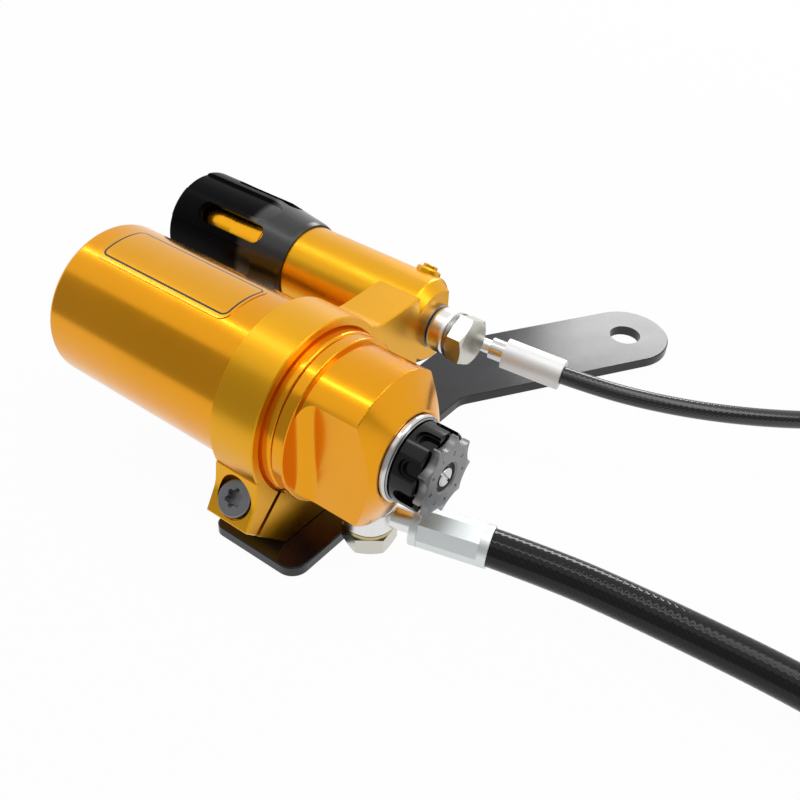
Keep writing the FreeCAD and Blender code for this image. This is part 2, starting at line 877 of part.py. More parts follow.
def make_main_banjo():
    """The main hose's eye and neck."""
    middle = main_eye_centre()
    start = main_ferrule_span()[0]
    run = [middle, start + neck_direction() * neck_insert]
    return make_eye(middle, Z, banjo_eye_height, banjo_eye_r, banjo_bolt_r, run, main_neck_r)


def ferrule(start, end, r, neck_r, hose_r, facets):
    """A crimped ferrule from its neck end to its hose end."""
    axis = (end - start).normalize()
    length = (end - start).Length
    body = rod(r, start, end)
    side = (Z - axis * Z.dot(axis)).normalize()
    other = axis.cross(side)
    if facets:
        flat_r = r * math.cos(math.pi / facets)
        for i in range(facets):
            a = 2 * math.pi * (i + 0.5) / facets
            out = side * math.cos(a) + other * math.sin(a)
            wide = out.cross(axis)
            base = start + axis * (length * 0.1) + out * flat_r - wide * r
            across = base + wide * 2 * r
            corners = [base, across, across + out * r, base + out * r, base]
            body = body.cut(Part.Face(Part.makePolygon(corners)).extrude(axis * (length * 0.78)))
    body = body.cut(rod(neck_r + seat_gap, start - axis, start + axis * (length * 0.4)))
    body = body.cut(rod(hose_r + seat_gap, start + axis * (length * 0.4), end + axis))
    return body


def make_main_ferrule():
    """The main hose's crimped ferrule."""
    start, end = main_ferrule_span()
    return ferrule(start, end, main_ferrule_r, main_neck_r, main_hose_r, 8)


def main_ferrule_span():
    """The two ends of the main ferrule on the hose's axis."""
    along = neck_direction()
    return main_route[0] - along * main_ferrule_length, main_route[0] + along * hose_insert


def far_end(route):
    """The end point and the direction of a route's last run."""
    return route[-1], (route[-1] - route[-2]).normalize()


def make_far_ferrule(route, length, r, neck_r, hose_r, facets):
    """The ferrule on a hose's last run."""
    at, along = far_end(route)
    return ferrule(at + along * length, at - along * hose_insert, r, neck_r, hose_r, facets)


def make_far_banjo(route, length, height, outer, hole, neck_r):
    """The eye and neck that end a hose."""
    at, along = far_end(route)
    centre = at + along * (length + neck_shown + outer)
    axis = (Z - along * Z.dot(along)).normalize()
    inside = at + along * (length - neck_insert - 3.0)
    return make_eye(centre, axis, height, outer, hole, [centre, inside], neck_r)


def make_main_far_end():
    """The ferrule and the eye at the damper's end of the main hose."""
    length, neck = main_far_ferrule_length, main_neck_r
    crimp = make_far_ferrule(main_route, length, main_ferrule_r, neck, main_hose_r, 8)
    keep("main_far_ferrule", crimp)
    eye = make_far_banjo(main_route, length, banjo_eye_height, banjo_eye_r, banjo_bolt_r, neck)
    keep("main_far_banjo", eye)


def make_preload_far_end():
    """The ferrule and the eye at the damper's end of the preload hose."""
    length, neck = preload_ferrule_length, preload_neck_r
    crimp = make_far_ferrule(preload_route, length, preload_ferrule_r, neck, preload_hose_r, 0)
    keep("preload_far_ferrule", crimp)
    eye = make_far_banjo(preload_route, length, preload_eye_width, preload_eye_r, preload_bolt_r, neck)
    keep("preload_far_banjo", eye)


def make_hose(route, r):
    """The hose, whose two ends lie inside their ferrules."""
    body, length, radii = swept(route, r)
    ratio = body.Volume / (math.pi * r * r * length)
    print("hose length", round(length, 1), "volume ratio", round(ratio, 4))
    print("bend radii", [round(v, 1) for v in radii])
    return body


def make_preload_parts():
    """The washers, bolt, eye, sleeve and ferrule on the barrel's front face."""
    seat = barrel
    washer_one = ring(preload_washer_r, preload_bolt_r + 0.1, seat, seat + X * preload_washer)
    eye_end = seat + X * (preload_washer + preload_eye_width)
    washer_two = ring(preload_washer_r, preload_bolt_r + 0.1, eye_end, eye_end + X * preload_washer)
    keep("preload_banjo_washers", Part.makeCompound([washer_one, washer_two]))
    under_head = eye_end + X * preload_washer
    inward = V(-1, 0, 0)
    sizes = preload_hex_flats, preload_hex_height, preload_bolt_length, preload_hex_turn
    bolt = make_banjo_bolt(under_head, inward, preload_washer_r - free_gap, preload_bolt_r, *sizes)
    keep("preload_banjo_bolt", bolt)
    centre = seat + X * (preload_washer + preload_eye_width / 2)
    along = preload_ferrule_direction()
    ferrule_start = preload_route[0] - along * preload_ferrule_length
    reach = (preload_route[0].x - centre.x) / along.x
    corner = preload_route[0] - along * reach
    run = [centre, corner, ferrule_start + along * preload_neck_insert]
    eye = make_eye(centre, X, preload_eye_width, preload_eye_r, preload_bolt_r, run, preload_neck_r, 1.6)
    keep("preload_banjo", eye)
    sleeve_start = ferrule_start - along * preload_sleeve_length
    sleeve = ring(preload_sleeve_r, preload_neck_r + seat_gap, sleeve_start, ferrule_start)
    keep("preload_sleeve", sleeve)
    ferrule_end = preload_route[0] + along * hose_insert
    body = ferrule(ferrule_start, ferrule_end, preload_ferrule_r, preload_neck_r, preload_hose_r, 0)
    keep("preload_ferrule", body)


def preload_ferrule_direction():
    """The way the preload hose leaves its ferrule."""
    return V(0.971, 0.21, -0.098).normalize()


def make_preload_knob():
    """The hollow knob with flutes on its outside and windows between them."""
    lip_r = barrel_r + preload_knob_lip_wall
    bearing_r = barrel_r + running_gap
    bearing_x = preload_knob_lip_x - preload_knob_bearing
    wall_x = preload_knob_back_x + preload_knob_back_wall
    body = turned([
        (preload_knob_back_x, 0),
        (preload_knob_back_x, preload_knob_r, 1.2),
        (preload_knob_taper_x, preload_knob_r, 6.0),
        (preload_knob_lip_x - 1.2, lip_r + 0.35, 4.0),
        (preload_knob_lip_x, lip_r - 0.2, 0.2),
        (preload_knob_lip_x, bearing_r),
        (bearing_x, bearing_r),
        (bearing_x, preload_knob_bore_r),
        (wall_x, preload_knob_bore_r),
        (wall_x, 0),
    ], barrel_y, barrel_z)
    pitch = 360 / flute_count
    for i in range(flute_count):
        angle = first_flute_deg + pitch * i
        body = body.cut(around_barrel(flute_tool(), angle))
        body = body.cut(around_barrel(window_tool(), angle + window_turn))
    back = barrel + X * (preload_knob_back_x - 1)
    return body.cut(rod(knob_screw_neck_r + seat_gap, back, back + X * (preload_knob_back_wall + 2)))


def around_barrel(tool, degrees):
    """Turn a tool that was made on top of the barrel to an angle from +Y towards +Z."""
    tool.rotate(barrel, X, degrees - 90)
    return tool


def flute_tool():
    """A flute with a round floor and slanted walls, open at the knob's back and round in front."""
    half = flute_width / 2
    floor_r = preload_knob_r - flute_depth
    edge = math.sqrt(preload_knob_r ** 2 - half ** 2)
    low, high = floor_r - 2, preload_knob_r + 2
    low_half, high_half = half + low - edge, half + high - edge
    low_z, high_z = barrel_z + low, barrel_z + high
    outline = [
        (barrel_y - low_half, low_z),
        (barrel_y + low_half, low_z),
        (barrel_y + high_half, high_z),
        (barrel_y - high_half, high_z),
    ]
    centre_x = flute_end_x - half
    run = prism_x(outline, preload_knob_back_x - 5, centre_x)
    front = Part.makeCone(low_half, high_half, high - low, V(centre_x, barrel_y, low_z), Z)
    core = rod(floor_r, barrel + X * (preload_knob_back_x - 6), barrel + X * flute_end_x * 0.9)
    return run.fuse(front).cut(core)


def window_tool():
    """A slot with two round ends."""
    half = window_width / 2
    low = barrel_z + preload_knob_bore_r - 3
    height = preload_knob_wall + 6
    length = window_front_x - window_back_x - window_width
    box = Part.makeBox(length, window_width, height, V(window_back_x + half, barrel_y - half, low))
    front = Part.makeCylinder(half, height, V(window_front_x - half, barrel_y, low), Z)
    back = Part.makeCylinder(half, height, V(window_back_x + half, barrel_y, low), Z)
    return box.fuse(front).fuse(back)


def make_guide():
    """The fixed gold insert seen through the knob's windows."""
    sleeve_end = barrel_back_x + guide_sleeve_length
    body = turned([
        (guide_back_x, spindle_r + running_gap),
        (guide_back_x, guide_r, 0.6),
        (guide_cone_x, guide_r),
        (barrel_back_x, barrel_r - seat_gap),
        (barrel_back_x, barrel_bore_r - seat_gap),
        (sleeve_end, barrel_bore_r - seat_gap, 0.3),
        (sleeve_end, spindle_r + running_gap),
    ], barrel_y, barrel_z)
    return body.cut(detent_hole())


def detent_hole():
    """The hole of the detent's ball and pin in the guide."""
    return rod(detent_r + 0.1, barrel + V(detent_x, 0, detent_floor_r), barrel + V(detent_x, 0, barrel_r))


def make_detent():
    """The ball and its pin that click the knob."""
    height = preload_knob_bore_r - detent_r - 0.3
    ball = Part.makeSphere(detent_r, barrel + V(detent_x, 0, height))
    low = detent_floor_r + 0.1
    pin = rod(detent_r, barrel + V(detent_x, 0, low), barrel + V(detent_x, 0, height - detent_r - 0.1))
    return Part.makeCompound([ball, pin])


def make_spindle():
    """The spindle that the knob turns and the piston rides on."""
    start = preload_knob_back_x + preload_knob_back_wall + running_gap
    end = piston_front_x + piston_stroke - 1.5
    body = turned([(start, 0), (start, spindle_r), (end, spindle_r, 0.5), (end, 0)], barrel_y, barrel_z)
    hole_end = preload_knob_back_x + knob_screw_depth + 1
    return body.cut(rod(knob_screw_r, barrel + X * preload_knob_back_x, barrel + X * hole_end))


def make_knob_screw():
    """The screw that holds the knob on its spindle."""
    back = preload_knob_back_x
    shoulder = back + preload_knob_back_wall + running_gap
    tip = back + knob_screw_depth
    body = turned([
        (back - 1.6, 0),
        (back - 1.6, knob_screw_head_r, 0.5),
        (back, knob_screw_head_r),
        (back, knob_screw_neck_r),
        (shoulder, knob_screw_neck_r),
        (shoulder, knob_screw_r - seat_gap),
        (tip, knob_screw_r - seat_gap),
        (tip, 0),
    ], barrel_y, barrel_z)
    socket = hexagon(3.0, barrel + X * (back - 2.6), barrel + X * (back - 0.5))
    return body.cut(socket)


def make_preload_piston():
    """The piston that pushes oil into the preload hose."""
    middle = (piston_back_x + piston_front_x) / 2
    outer = barrel_bore_r - running_gap
    skirt_x = piston_front_x + 2
    nose_x = piston_front_x + piston_nose
    return turned([
        (piston_back_x, spindle_r + running_gap),
        (piston_back_x, outer, 0.3),
        (middle - piston_seal_width / 2, outer),
        (middle - piston_seal_width / 2, piston_groove_r),
        (middle + piston_seal_width / 2, piston_groove_r),
        (middle + piston_seal_width / 2, outer),
        (skirt_x, outer, 0.3),
        (skirt_x, piston_nose_r),
        (nose_x, piston_nose_r),
        (nose_x, spindle_r + running_gap),
    ], barrel_y, barrel_z)


def make_floating_piston():
    """The piston that keeps the gas and the oil apart."""
    outer = tube_bore_r - running_gap
    back = floating_back_x
    front = floating_back_x + floating_length
    band = back + 2.0
    groove = band + band_width + 2.0
    return turned([
        (back, 0),
        (back, outer - 0.6),
        (back + 0.6, outer),
        (band, outer),
        (band, outer - band_depth),
        (band + band_width, outer - band_depth),
        (band + band_width, outer),
        (groove, outer),
        (groove, tube_groove_r),
        (groove + seal_width, tube_groove_r),
        (groove + seal_width, outer),
        (front, outer),
        (front, floating_dish_r),
        (front - floating_dish_depth, floating_dish_floor_r),
        (front - floating_dish_depth, 0),
    ])


def make_piston_band():
    """The wear band round the floating piston."""
    outer = tube_bore_r - 0.03
    inner = tube_bore_r - running_gap - band_depth + seat_gap
    back = floating_back_x + 2.0
    return ring(outer, inner, V(back + running_gap, 0, 0), V(back + band_width - running_gap, 0, 0))


def make_end_cap():
    """The cap inside the tube's far end."""
    outer = tube_bore_r - running_gap
    groove = cap_back_x + 2.0
    floor = cap_back_x + cap_recess
    body = turned([
        (cap_back_x, cap_recess_r),
        (cap_back_x, outer, 0.4),
        (groove, outer),
        (groove, tube_groove_r),
        (groove + seal_width, tube_groove_r),
        (groove + seal_width, outer),
        (cap_front_x, outer, 0.4),
        (cap_front_x, 0),
        (floor, 0),
        (floor, cap_recess_r),
    ])
    return body.cut(rod(valve_bore_r, V(floor - 1, 0, 0), V(cap_front_x + 0.5, 0, 0)))


def make_end_clip():
    """The open clip that holds the end cap."""
    front = cap_back_x - running_gap
    back = front - clip_width
    inner = tube_bore_r - running_gap - clip_depth
    clip = ring(tube_bore_r - running_gap, inner, V(back, 0, 0), V(front, 0, 0))
    mouth = Part.makeBox(clip_width + 1, clip_mouth, 8, V(back - 0.5, -clip_mouth / 2, inner - 3))
    return clip.cut(mouth)


def make_gas_valve():
    """The filling valve in the end cap."""
    floor = cap_back_x + cap_recess
    tip = tube_back_x + 0.8
    shoulder = floor - 1.6
    end = cap_front_x - 0.3
    return turned([
        (tip, 0),
        (tip, valve_stem_r),
        (shoulder, valve_stem_r),
        (shoulder, valve_shoulder_r),
        (floor - seat_gap, valve_shoulder_r),
        (floor - seat_gap, valve_bore_r - seat_gap),
        (end, valve_bore_r - seat_gap),
        (end, 0),
    ])


def make_valve_cap():
    """The cap over the filling valve."""
    back = tube_back_x + 0.1
    front = cap_back_x + cap_recess - 2.2
    inner = valve_stem_r + running_gap
    top = tube_back_x + 0.75
    return turned([
        (back, 0),
        (back, valve_cap_r, 0.3),
        (front, valve_cap_r),
        (front, inner),
        (top, inner),
        (top, 0),
    ])


def make_label():
    """The bare curved plate on top of the tube."""
    low = tube_r + 0.01
    high = low + label_thickness
    back, front = label_back_x, label_front_x
    plate = ring(high, low, V(back, 0, 0), V(front, 0, 0))
    half = high * math.sin(math.radians(label_half_deg))
    outline = [(back, -half, 3), (front, -half, 3), (front, half, 3), (back, half, 3)]
    return plate.common(prism_z(outline, tube_r / 2, tube_r + 5))


def make_all():
    """Make every node in local place."""
    keep("bracket_plate", make_bracket_plate())
    keep("bracket_screws", make_foot_screws())
    keep("clamp_body", make_clamp_body())
    keep("pinch_screw", make_pinch_screw())
    keep("reservoir_tube", make_reservoir_tube())
    keep("reservoir_head", make_reservoir_head())
    keep("head_seal", o_ring(seal_width / 2 - groove_back, tube_groove_r, tube_bore_r))
    keep("end_cap", make_end_cap())
    keep("end_cap_seal", o_ring(cap_back_x + 2.0 + seal_width / 2, tube_groove_r, tube_bore_r))
    keep("end_cap_clip", make_end_clip())
    keep("gas_valve", make_gas_valve())
    keep("gas_valve_cap", make_valve_cap())
    keep("label_plate", make_label())
    keep("floating_piston", make_floating_piston())
    keep("floating_piston_band", make_piston_band())
    floating_groove = floating_back_x + 4.0 + band_width + seal_width / 2
    keep("floating_piston_seal", o_ring(floating_groove, tube_groove_r, tube_bore_r))
    keep("adjuster_cartridge", make_cartridge())
    keep("adjuster_bezel", make_bezel())
    keep("high_speed_knob", make_high_speed_knob())
    keep("high_speed_ring", make_high_speed_ring())
    keep("shim_stack", make_shim_stack())
    keep("low_speed_dial", make_dial())
    keep("dial_screw", make_dial_screw())
    keep("low_speed_needle", make_needle())
    keep("main_banjo_bolt", make_main_bolt())
    keep("main_banjo_washers", make_main_washers())
    keep("main_banjo", make_main_banjo())
    keep("main_ferrule", make_main_ferrule())
    keep("main_hose", make_hose(main_route, main_hose_r))
    make_main_far_end()
    make_preload_parts()
    keep("preload_hose", make_hose(preload_route, preload_hose_r))
    make_preload_far_end()
    keep("bleed_screw", make_bleed_screw())
    keep("preload_knob", make_preload_knob())
    keep("preload_guide", make_guide())
    keep("knob_detent", make_detent())
    keep("preload_spindle", make_spindle())
    keep("knob_screw", make_knob_screw())
    keep("preload_piston", make_preload_piston())
    piston_middle = (piston_back_x + piston_front_x) / 2
    keep("preload_piston_seal", o_ring(piston_middle, piston_groove_r, barrel_bore_r, barrel_y, barrel_z))


def write_all():
    """Move every node to the row frame and write its file."""
    os.makedirs("parts", exist_ok=True)
    for name, shape in nodes.items():
        shape.translate(shift)
        if not shape.isValid() or shape.Volume <= 0:
            print("check", name, shape.isValid(), round(shape.Volume, 2))
        shape.exportStep("parts/" + name + ".step")
    print(len(nodes), "nodes")


make_all()
write_all()
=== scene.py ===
import math

import bmesh
import bpy
from bpy.props import FloatProperty, FloatVectorProperty, IntProperty, PointerProperty
from mathutils import Matrix, Vector


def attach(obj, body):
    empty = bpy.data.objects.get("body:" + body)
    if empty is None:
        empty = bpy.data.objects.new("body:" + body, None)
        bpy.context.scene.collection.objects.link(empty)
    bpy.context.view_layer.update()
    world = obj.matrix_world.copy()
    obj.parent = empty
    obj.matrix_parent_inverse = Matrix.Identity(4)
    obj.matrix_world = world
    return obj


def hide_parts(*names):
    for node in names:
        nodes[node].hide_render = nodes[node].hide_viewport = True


bl_info = {
    "name": "Shock reservoir and preload unit",
    "version": (1, 0, 0),
    "blender": (4, 5, 0),
    "location": "3D View > Sidebar > Reservoir",
    "description": "Finishes, hoses, dial marks and stage for the shock reservoir",
    "category": "Object",
}

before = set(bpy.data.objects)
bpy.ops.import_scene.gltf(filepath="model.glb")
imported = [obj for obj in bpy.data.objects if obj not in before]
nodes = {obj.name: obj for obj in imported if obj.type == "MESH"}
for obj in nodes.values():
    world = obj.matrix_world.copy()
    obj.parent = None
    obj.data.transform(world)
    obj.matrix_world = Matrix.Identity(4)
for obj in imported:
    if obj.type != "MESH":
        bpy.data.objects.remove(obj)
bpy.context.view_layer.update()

MM = 0.001

# The soft light that the white room gives to what isn't mirrored
FILL_GLOW = 0.35

# The share of the floor that shows plain white; the rest keeps the shadow
FLOOR_GLOW = 0.97
FLOOR_DROP = 0.0003

# The camera: its angles in degrees, its offsets from the reservoir's middle in mm, its frame
CAMERA_AZIMUTH = 35.7051
CAMERA_ELEVATION = 38.6770
CAMERA_ROLL = 2.8425
CAMERA_RIGHT = -20.2275
CAMERA_UP = -2.7170
CAMERA_AWAY = 276.5554
FOCAL_PIXELS = 1071.5625
FRAME_PIXELS = 800.0
SENSOR_WIDTH = 36.0

# The dial's numbers stand this far proud, half of it sunk
NUMBER_DEPTH = 0.00008

# Radius and width of the painted shade line on the bezel's face, which stands in for the shade of the fine
# step turned in the real bezel
BEZEL_SHADE_RADIUS = 0.01145
BEZEL_SHADE_WIDTH = 0.00014

# Where the knob's taper starts and is full, along X from the barrel's middle, and its coat
TAPER_START = -0.0655
TAPER_END = -0.0625
TAPER_COAT = 0.9

# The outline drawn on the label plate
LABEL_OUTLINE = {"Middle": -0.0486, "Half_length": 0.0231, "Half_width": 0.0075, "Corner": 0.0018,
                 "Radius": 0.0232, "Line": 0.0003}

# The hoses' tubes: the distance between rings, the sides of a ring, and the thin hose's finer braid
HOSE_STEP = 0.0008
HOSE_SIDES = 64
THIN_BRAID = 0.85

# Axes of the reservoir and of the preload barrel, both parallel to X, in the row frame
RESERVOIR = Vector((-0.024, -0.133, 0.040))
BARREL = Vector((-0.024, -0.0834, 0.0405))

# The two hose routes, from ferrule to ferrule
MAIN_ROUTE = [
    (0.0242, -0.12315, 0.01379),
    (0.0426, -0.1183, 0.0130),
    (0.0614, -0.1153, 0.0121),
    (0.0805, -0.1130, 0.0113),
    (0.0996, -0.1111, 0.0105),
    (0.1188, -0.1104, 0.0098),
    (0.1380, -0.1110, 0.0092),
    (0.1570, -0.1132, 0.0088),
]
PRELOAD_ROUTE = [
    (0.0106, -0.0690, 0.0316),
    (0.0222, -0.0657, 0.0304),
    (0.0342, -0.0603, 0.0289),
    (0.0466, -0.0528, 0.0272),
    (0.0590, -0.0436, 0.0256),
    (0.0706, -0.0332, 0.0240),
    (0.0810, -0.0214, 0.0222),
    (0.0900, -0.0084, 0.0204),
    (0.0972, 0.0052, 0.01885),
]


class FinishSettings(bpy.types.PropertyGroup):
    """Colours and roughness of the object's finishes."""

    gold: FloatVectorProperty(
        name="Gold", description="Colour of the gold anodised pieces", subtype="COLOR",
        size=3, min=0, max=1, default=(0.78, 0.35, 0.004))
    gold_roughness: FloatProperty(
        name="Gold roughness", description="Gloss of the gold pieces", min=0, max=1, default=0.2,
        subtype="FACTOR")
    black: FloatVectorProperty(
        name="Black", description="Colour of the black anodised knobs", subtype="COLOR",
        size=3, min=0, max=1, default=(0.003, 0.003, 0.0034))
    bracket: FloatVectorProperty(
        name="Bracket", description="Colour of the bracket plate's coating", subtype="COLOR",
        size=3, min=0, max=1, default=(0.007, 0.008, 0.0115))
    dial: FloatVectorProperty(
        name="Dial", description="Colour of the grey dial", subtype="COLOR",
        size=3, min=0, max=1, default=(0.23, 0.23, 0.235))
    hose: FloatVectorProperty(
        name="Hose", description="Colour of the hoses' cover", subtype="COLOR",
        size=3, min=0, max=1, default=(0.003, 0.003, 0.0035))


class HoseSettings(bpy.types.PropertyGroup):
    """Sizes of the two hoses and of their braid."""

    main_diameter: FloatProperty(
        name="Main hose", description="Outside diameter of the main hose", default=0.0104,
        min=0.004, max=0.03, unit="LENGTH", precision=4)
    preload_diameter: FloatProperty(
        name="Preload hose", description="Outside diameter of the preload hose", default=0.0052,
        min=0.002, max=0.02, unit="LENGTH", precision=4)
    braid_pitch: FloatProperty(
        name="Braid pitch", description="Length of one diamond of the braid", default=0.0019,
        min=0.0005, max=0.01, unit="LENGTH", precision=4)
    main_strands: IntProperty(
        name="Main strands", description="Diamonds round the main hose", default=16, min=4, max=64)
    preload_strands: IntProperty(
        name="Preload strands", description="Diamonds round the preload hose", default=10, min=4, max=64)


class DialSettings(bpy.types.PropertyGroup):
    """Numbers round the low speed dial."""

    numbers: IntProperty(
        name="Numbers", description="How many numbers stand round the dial", default=9, min=1, max=24)
    height: FloatProperty(
        name="Height", description="Height of a number", default=0.0016, min=0.0003, max=0.005,
        unit="LENGTH", precision=4)
    reach: FloatProperty(
        name="Reach", description="Distance of a number from the dial's middle", default=0.0067, min=0.002,
        max=0.01, unit="LENGTH", precision=4)
    first_degrees: FloatProperty(
        name="First number", description="Angle of the first number from the preload side", default=108.0,
        min=0, max=360)


def pick_none():
    """Deselect everything, so that an operator acts only on what follows."""
    for o in bpy.context.selected_objects:
        o.select_set(False)


def make_active(obj):
    """Select one object alone."""
    pick_none()
    obj.select_set(True)
    bpy.context.view_layer.objects.active = obj


def settle(obj):
    """Put the object's place into its mesh."""
    make_active(obj)
    bpy.ops.object.transform_apply(location=True, rotation=True, scale=True)


def settings():
    return bpy.context.scene.reservoir_finish


# Node groups

def socket(group, kind, name, default=None, incoming=True):
    """A socket on a node group's edge."""
    s = group.interface.new_socket(name=name, in_out="INPUT" if incoming else "OUTPUT", socket_type=kind)
    if default is not None:
        s.default_value = default
    return s


def math_node(tree, operation, a, b=None, c=None):
    """One Math node, with each input a socket or a number."""
    n = tree.nodes.new("ShaderNodeMath")
    n.operation = operation
    for i, v in enumerate((a, b, c)):
        if v is None:
            continue
        if isinstance(v, (int, float)):
            n.inputs[i].default_value = v
        else:
            tree.links.new(v, n.inputs[i])
    return n.outputs[0]


def soft_step(tree, value, start, end, low, high):
    """A smooth step from low to high as a value goes from start to end."""
    n = tree.nodes.new("ShaderNodeMapRange")
    n.interpolation_type = "SMOOTHSTEP"
    for name, number in (("From Min", start), ("From Max", end), ("To Min", low), ("To Max", high)):
        n.inputs[name].default_value = number
    tree.links.new(value, n.inputs["Value"])
    return n.outputs["Result"]


def fine_grain_group():
    """Uneven gloss and a fine height, from noise at two sizes."""
    g = bpy.data.node_groups.new("fine_grain", "ShaderNodeTree")
    socket(g, "NodeSocketVector", "Vector")
    socket(g, "NodeSocketFloat", "Coarse size", 0.01)
    socket(g, "NodeSocketFloat", "Fine size", 0.0004)
    socket(g, "NodeSocketFloat", "Low", 0.2)
    socket(g, "NodeSocketFloat", "High", 0.3)
    socket(g, "NodeSocketFloat", "Roughness", incoming=False)
    socket(g, "NodeSocketFloat", "Height", incoming=False)
    inside = g.nodes.new("NodeGroupInput")
    outside = g.nodes.new("NodeGroupOutput")
    noises = []
    for name, detail in (("Coarse size", 3.0), ("Fine size", 2.0)):
        n = g.nodes.new("ShaderNodeTexNoise")
        n.inputs["Detail"].default_value = detail
        g.links.new(inside.outputs["Vector"], n.inputs["Vector"])
        g.links.new(math_node(g, "DIVIDE", 1.0, inside.outputs[name]), n.inputs["Scale"])
        noises.append(n.outputs["Fac"])
    coarse = math_node(g, "MULTIPLY", noises[0], 0.7)
    mixed = math_node(g, "ADD", coarse, math_node(g, "MULTIPLY", noises[1], 0.3))
    ramp = g.nodes.new("ShaderNodeMapRange")
    ramp.inputs["From Min"].default_value = 0.3
    ramp.inputs["From Max"].default_value = 0.7
    g.links.new(mixed, ramp.inputs["Value"])
    g.links.new(inside.outputs["Low"], ramp.inputs["To Min"])
    g.links.new(inside.outputs["High"], ramp.inputs["To Max"])
    g.links.new(ramp.outputs["Result"], outside.inputs["Roughness"])
    g.links.new(noises[1], outside.inputs["Height"])
    return g


def tone_shift_group():
    """Two close tones of one colour, mixed by soft noise."""
    g = bpy.data.node_groups.new("tone_shift", "ShaderNodeTree")
    socket(g, "NodeSocketVector", "Vector")
    socket(g, "NodeSocketColor", "Tone", (1, 1, 1, 1))
    socket(g, "NodeSocketColor", "Other tone", (1, 1, 1, 1))
    socket(g, "NodeSocketFloat", "Size", 0.02)
    socket(g, "NodeSocketColor", "Color", incoming=False)
    inside = g.nodes.new("NodeGroupInput")
    outside = g.nodes.new("NodeGroupOutput")
    n = g.nodes.new("ShaderNodeTexNoise")
    n.inputs["Detail"].default_value = 4.0
    g.links.new(inside.outputs["Vector"], n.inputs["Vector"])
    g.links.new(math_node(g, "DIVIDE", 1.0, inside.outputs["Size"]), n.inputs["Scale"])
    mix = g.nodes.new("ShaderNodeMix")
    mix.data_type = "RGBA"
    g.links.new(n.outputs["Fac"], mix.inputs["Factor"])
    g.links.new(inside.outputs["Tone"], mix.inputs[6])
    g.links.new(inside.outputs["Other tone"], mix.inputs[7])
    g.links.new(mix.outputs[2], outside.inputs["Color"])
    return g


def turning_marks_group():
    """Fine lathe lines: a height that repeats along X and, on flat ends, with the radius."""
    g = bpy.data.node_groups.new("turning_marks", "ShaderNodeTree")
    socket(g, "NodeSocketVector", "Vector")
    socket(g, "NodeSocketFloat", "Pitch", 0.0002)
    socket(g, "NodeSocketFloat", "Height", incoming=False)
    inside = g.nodes.new("NodeGroupInput")
    outside = g.nodes.new("NodeGroupOutput")
    parts = g.nodes.new("ShaderNodeSeparateXYZ")
    g.links.new(inside.outputs["Vector"], parts.inputs[0])
    squares = [math_node(g, "MULTIPLY", parts.outputs[i], parts.outputs[i]) for i in (1, 2)]
    across = math_node(g, "SQRT", math_node(g, "ADD", *squares))
    both = math_node(g, "ADD", parts.outputs[0], across)
    turns = math_node(g, "DIVIDE", both, inside.outputs["Pitch"])
    n = g.nodes.new("ShaderNodeTexNoise")
    n.noise_dimensions = "1D"
    n.inputs["Scale"].default_value = 1.0
    n.inputs["Detail"].default_value = 3.0
    g.links.new(turns, n.inputs["W"])
    g.links.new(n.outputs["Fac"], outside.inputs["Height"])
    return g


def rim_line_group():
    """A mask that is 1 on the outline of a rounded rectangle drawn on the tube's top."""
    g = bpy.data.node_groups.new("rim_line", "ShaderNodeTree")
    socket(g, "NodeSocketVector", "Vector")
    socket(g, "NodeSocketFloat", "Middle", 0.0)
    socket(g, "NodeSocketFloat", "Half length", 0.02)
    socket(g, "NodeSocketFloat", "Half width", 0.006)
    socket(g, "NodeSocketFloat", "Corner", 0.002)
    socket(g, "NodeSocketFloat", "Radius", 0.023)
    socket(g, "NodeSocketFloat", "Line", 0.0002)
    socket(g, "NodeSocketFloat", "Mask", incoming=False)
    inside = g.nodes.new("NodeGroupInput")
    outside = g.nodes.new("NodeGroupOutput")
    parts = g.nodes.new("ShaderNodeSeparateXYZ")
    g.links.new(inside.outputs["Vector"], parts.inputs[0])
    angle = math_node(g, "ARCTAN2", parts.outputs[1], parts.outputs[2])
    arc = math_node(g, "MULTIPLY", angle, inside.outputs["Radius"])
    along = math_node(g, "ABSOLUTE", math_node(g, "SUBTRACT", parts.outputs[0], inside.outputs["Middle"]))
    across = math_node(g, "ABSOLUTE", arc)
    corner = inside.outputs["Corner"]
    qx = math_node(g, "ADD", math_node(g, "SUBTRACT", along, inside.outputs["Half length"]), corner)
    qy = math_node(g, "ADD", math_node(g, "SUBTRACT", across, inside.outputs["Half width"]), corner)
    px = math_node(g, "MAXIMUM", qx, 0.0)
    py = math_node(g, "MAXIMUM", qy, 0.0)
    squares = [math_node(g, "MULTIPLY", v, v) for v in (px, py)]
    far = math_node(g, "SQRT", math_node(g, "ADD", *squares))
    near = math_node(g, "MINIMUM", math_node(g, "MAXIMUM", qx, qy), 0.0)
    distance = math_node(g, "SUBTRACT", math_node(g, "ADD", far, near), corner)
    line = math_node(g, "LESS_THAN", math_node(g, "ABSOLUTE", distance), inside.outputs["Line"])
    g.links.new(line, outside.inputs["Mask"])
    return g


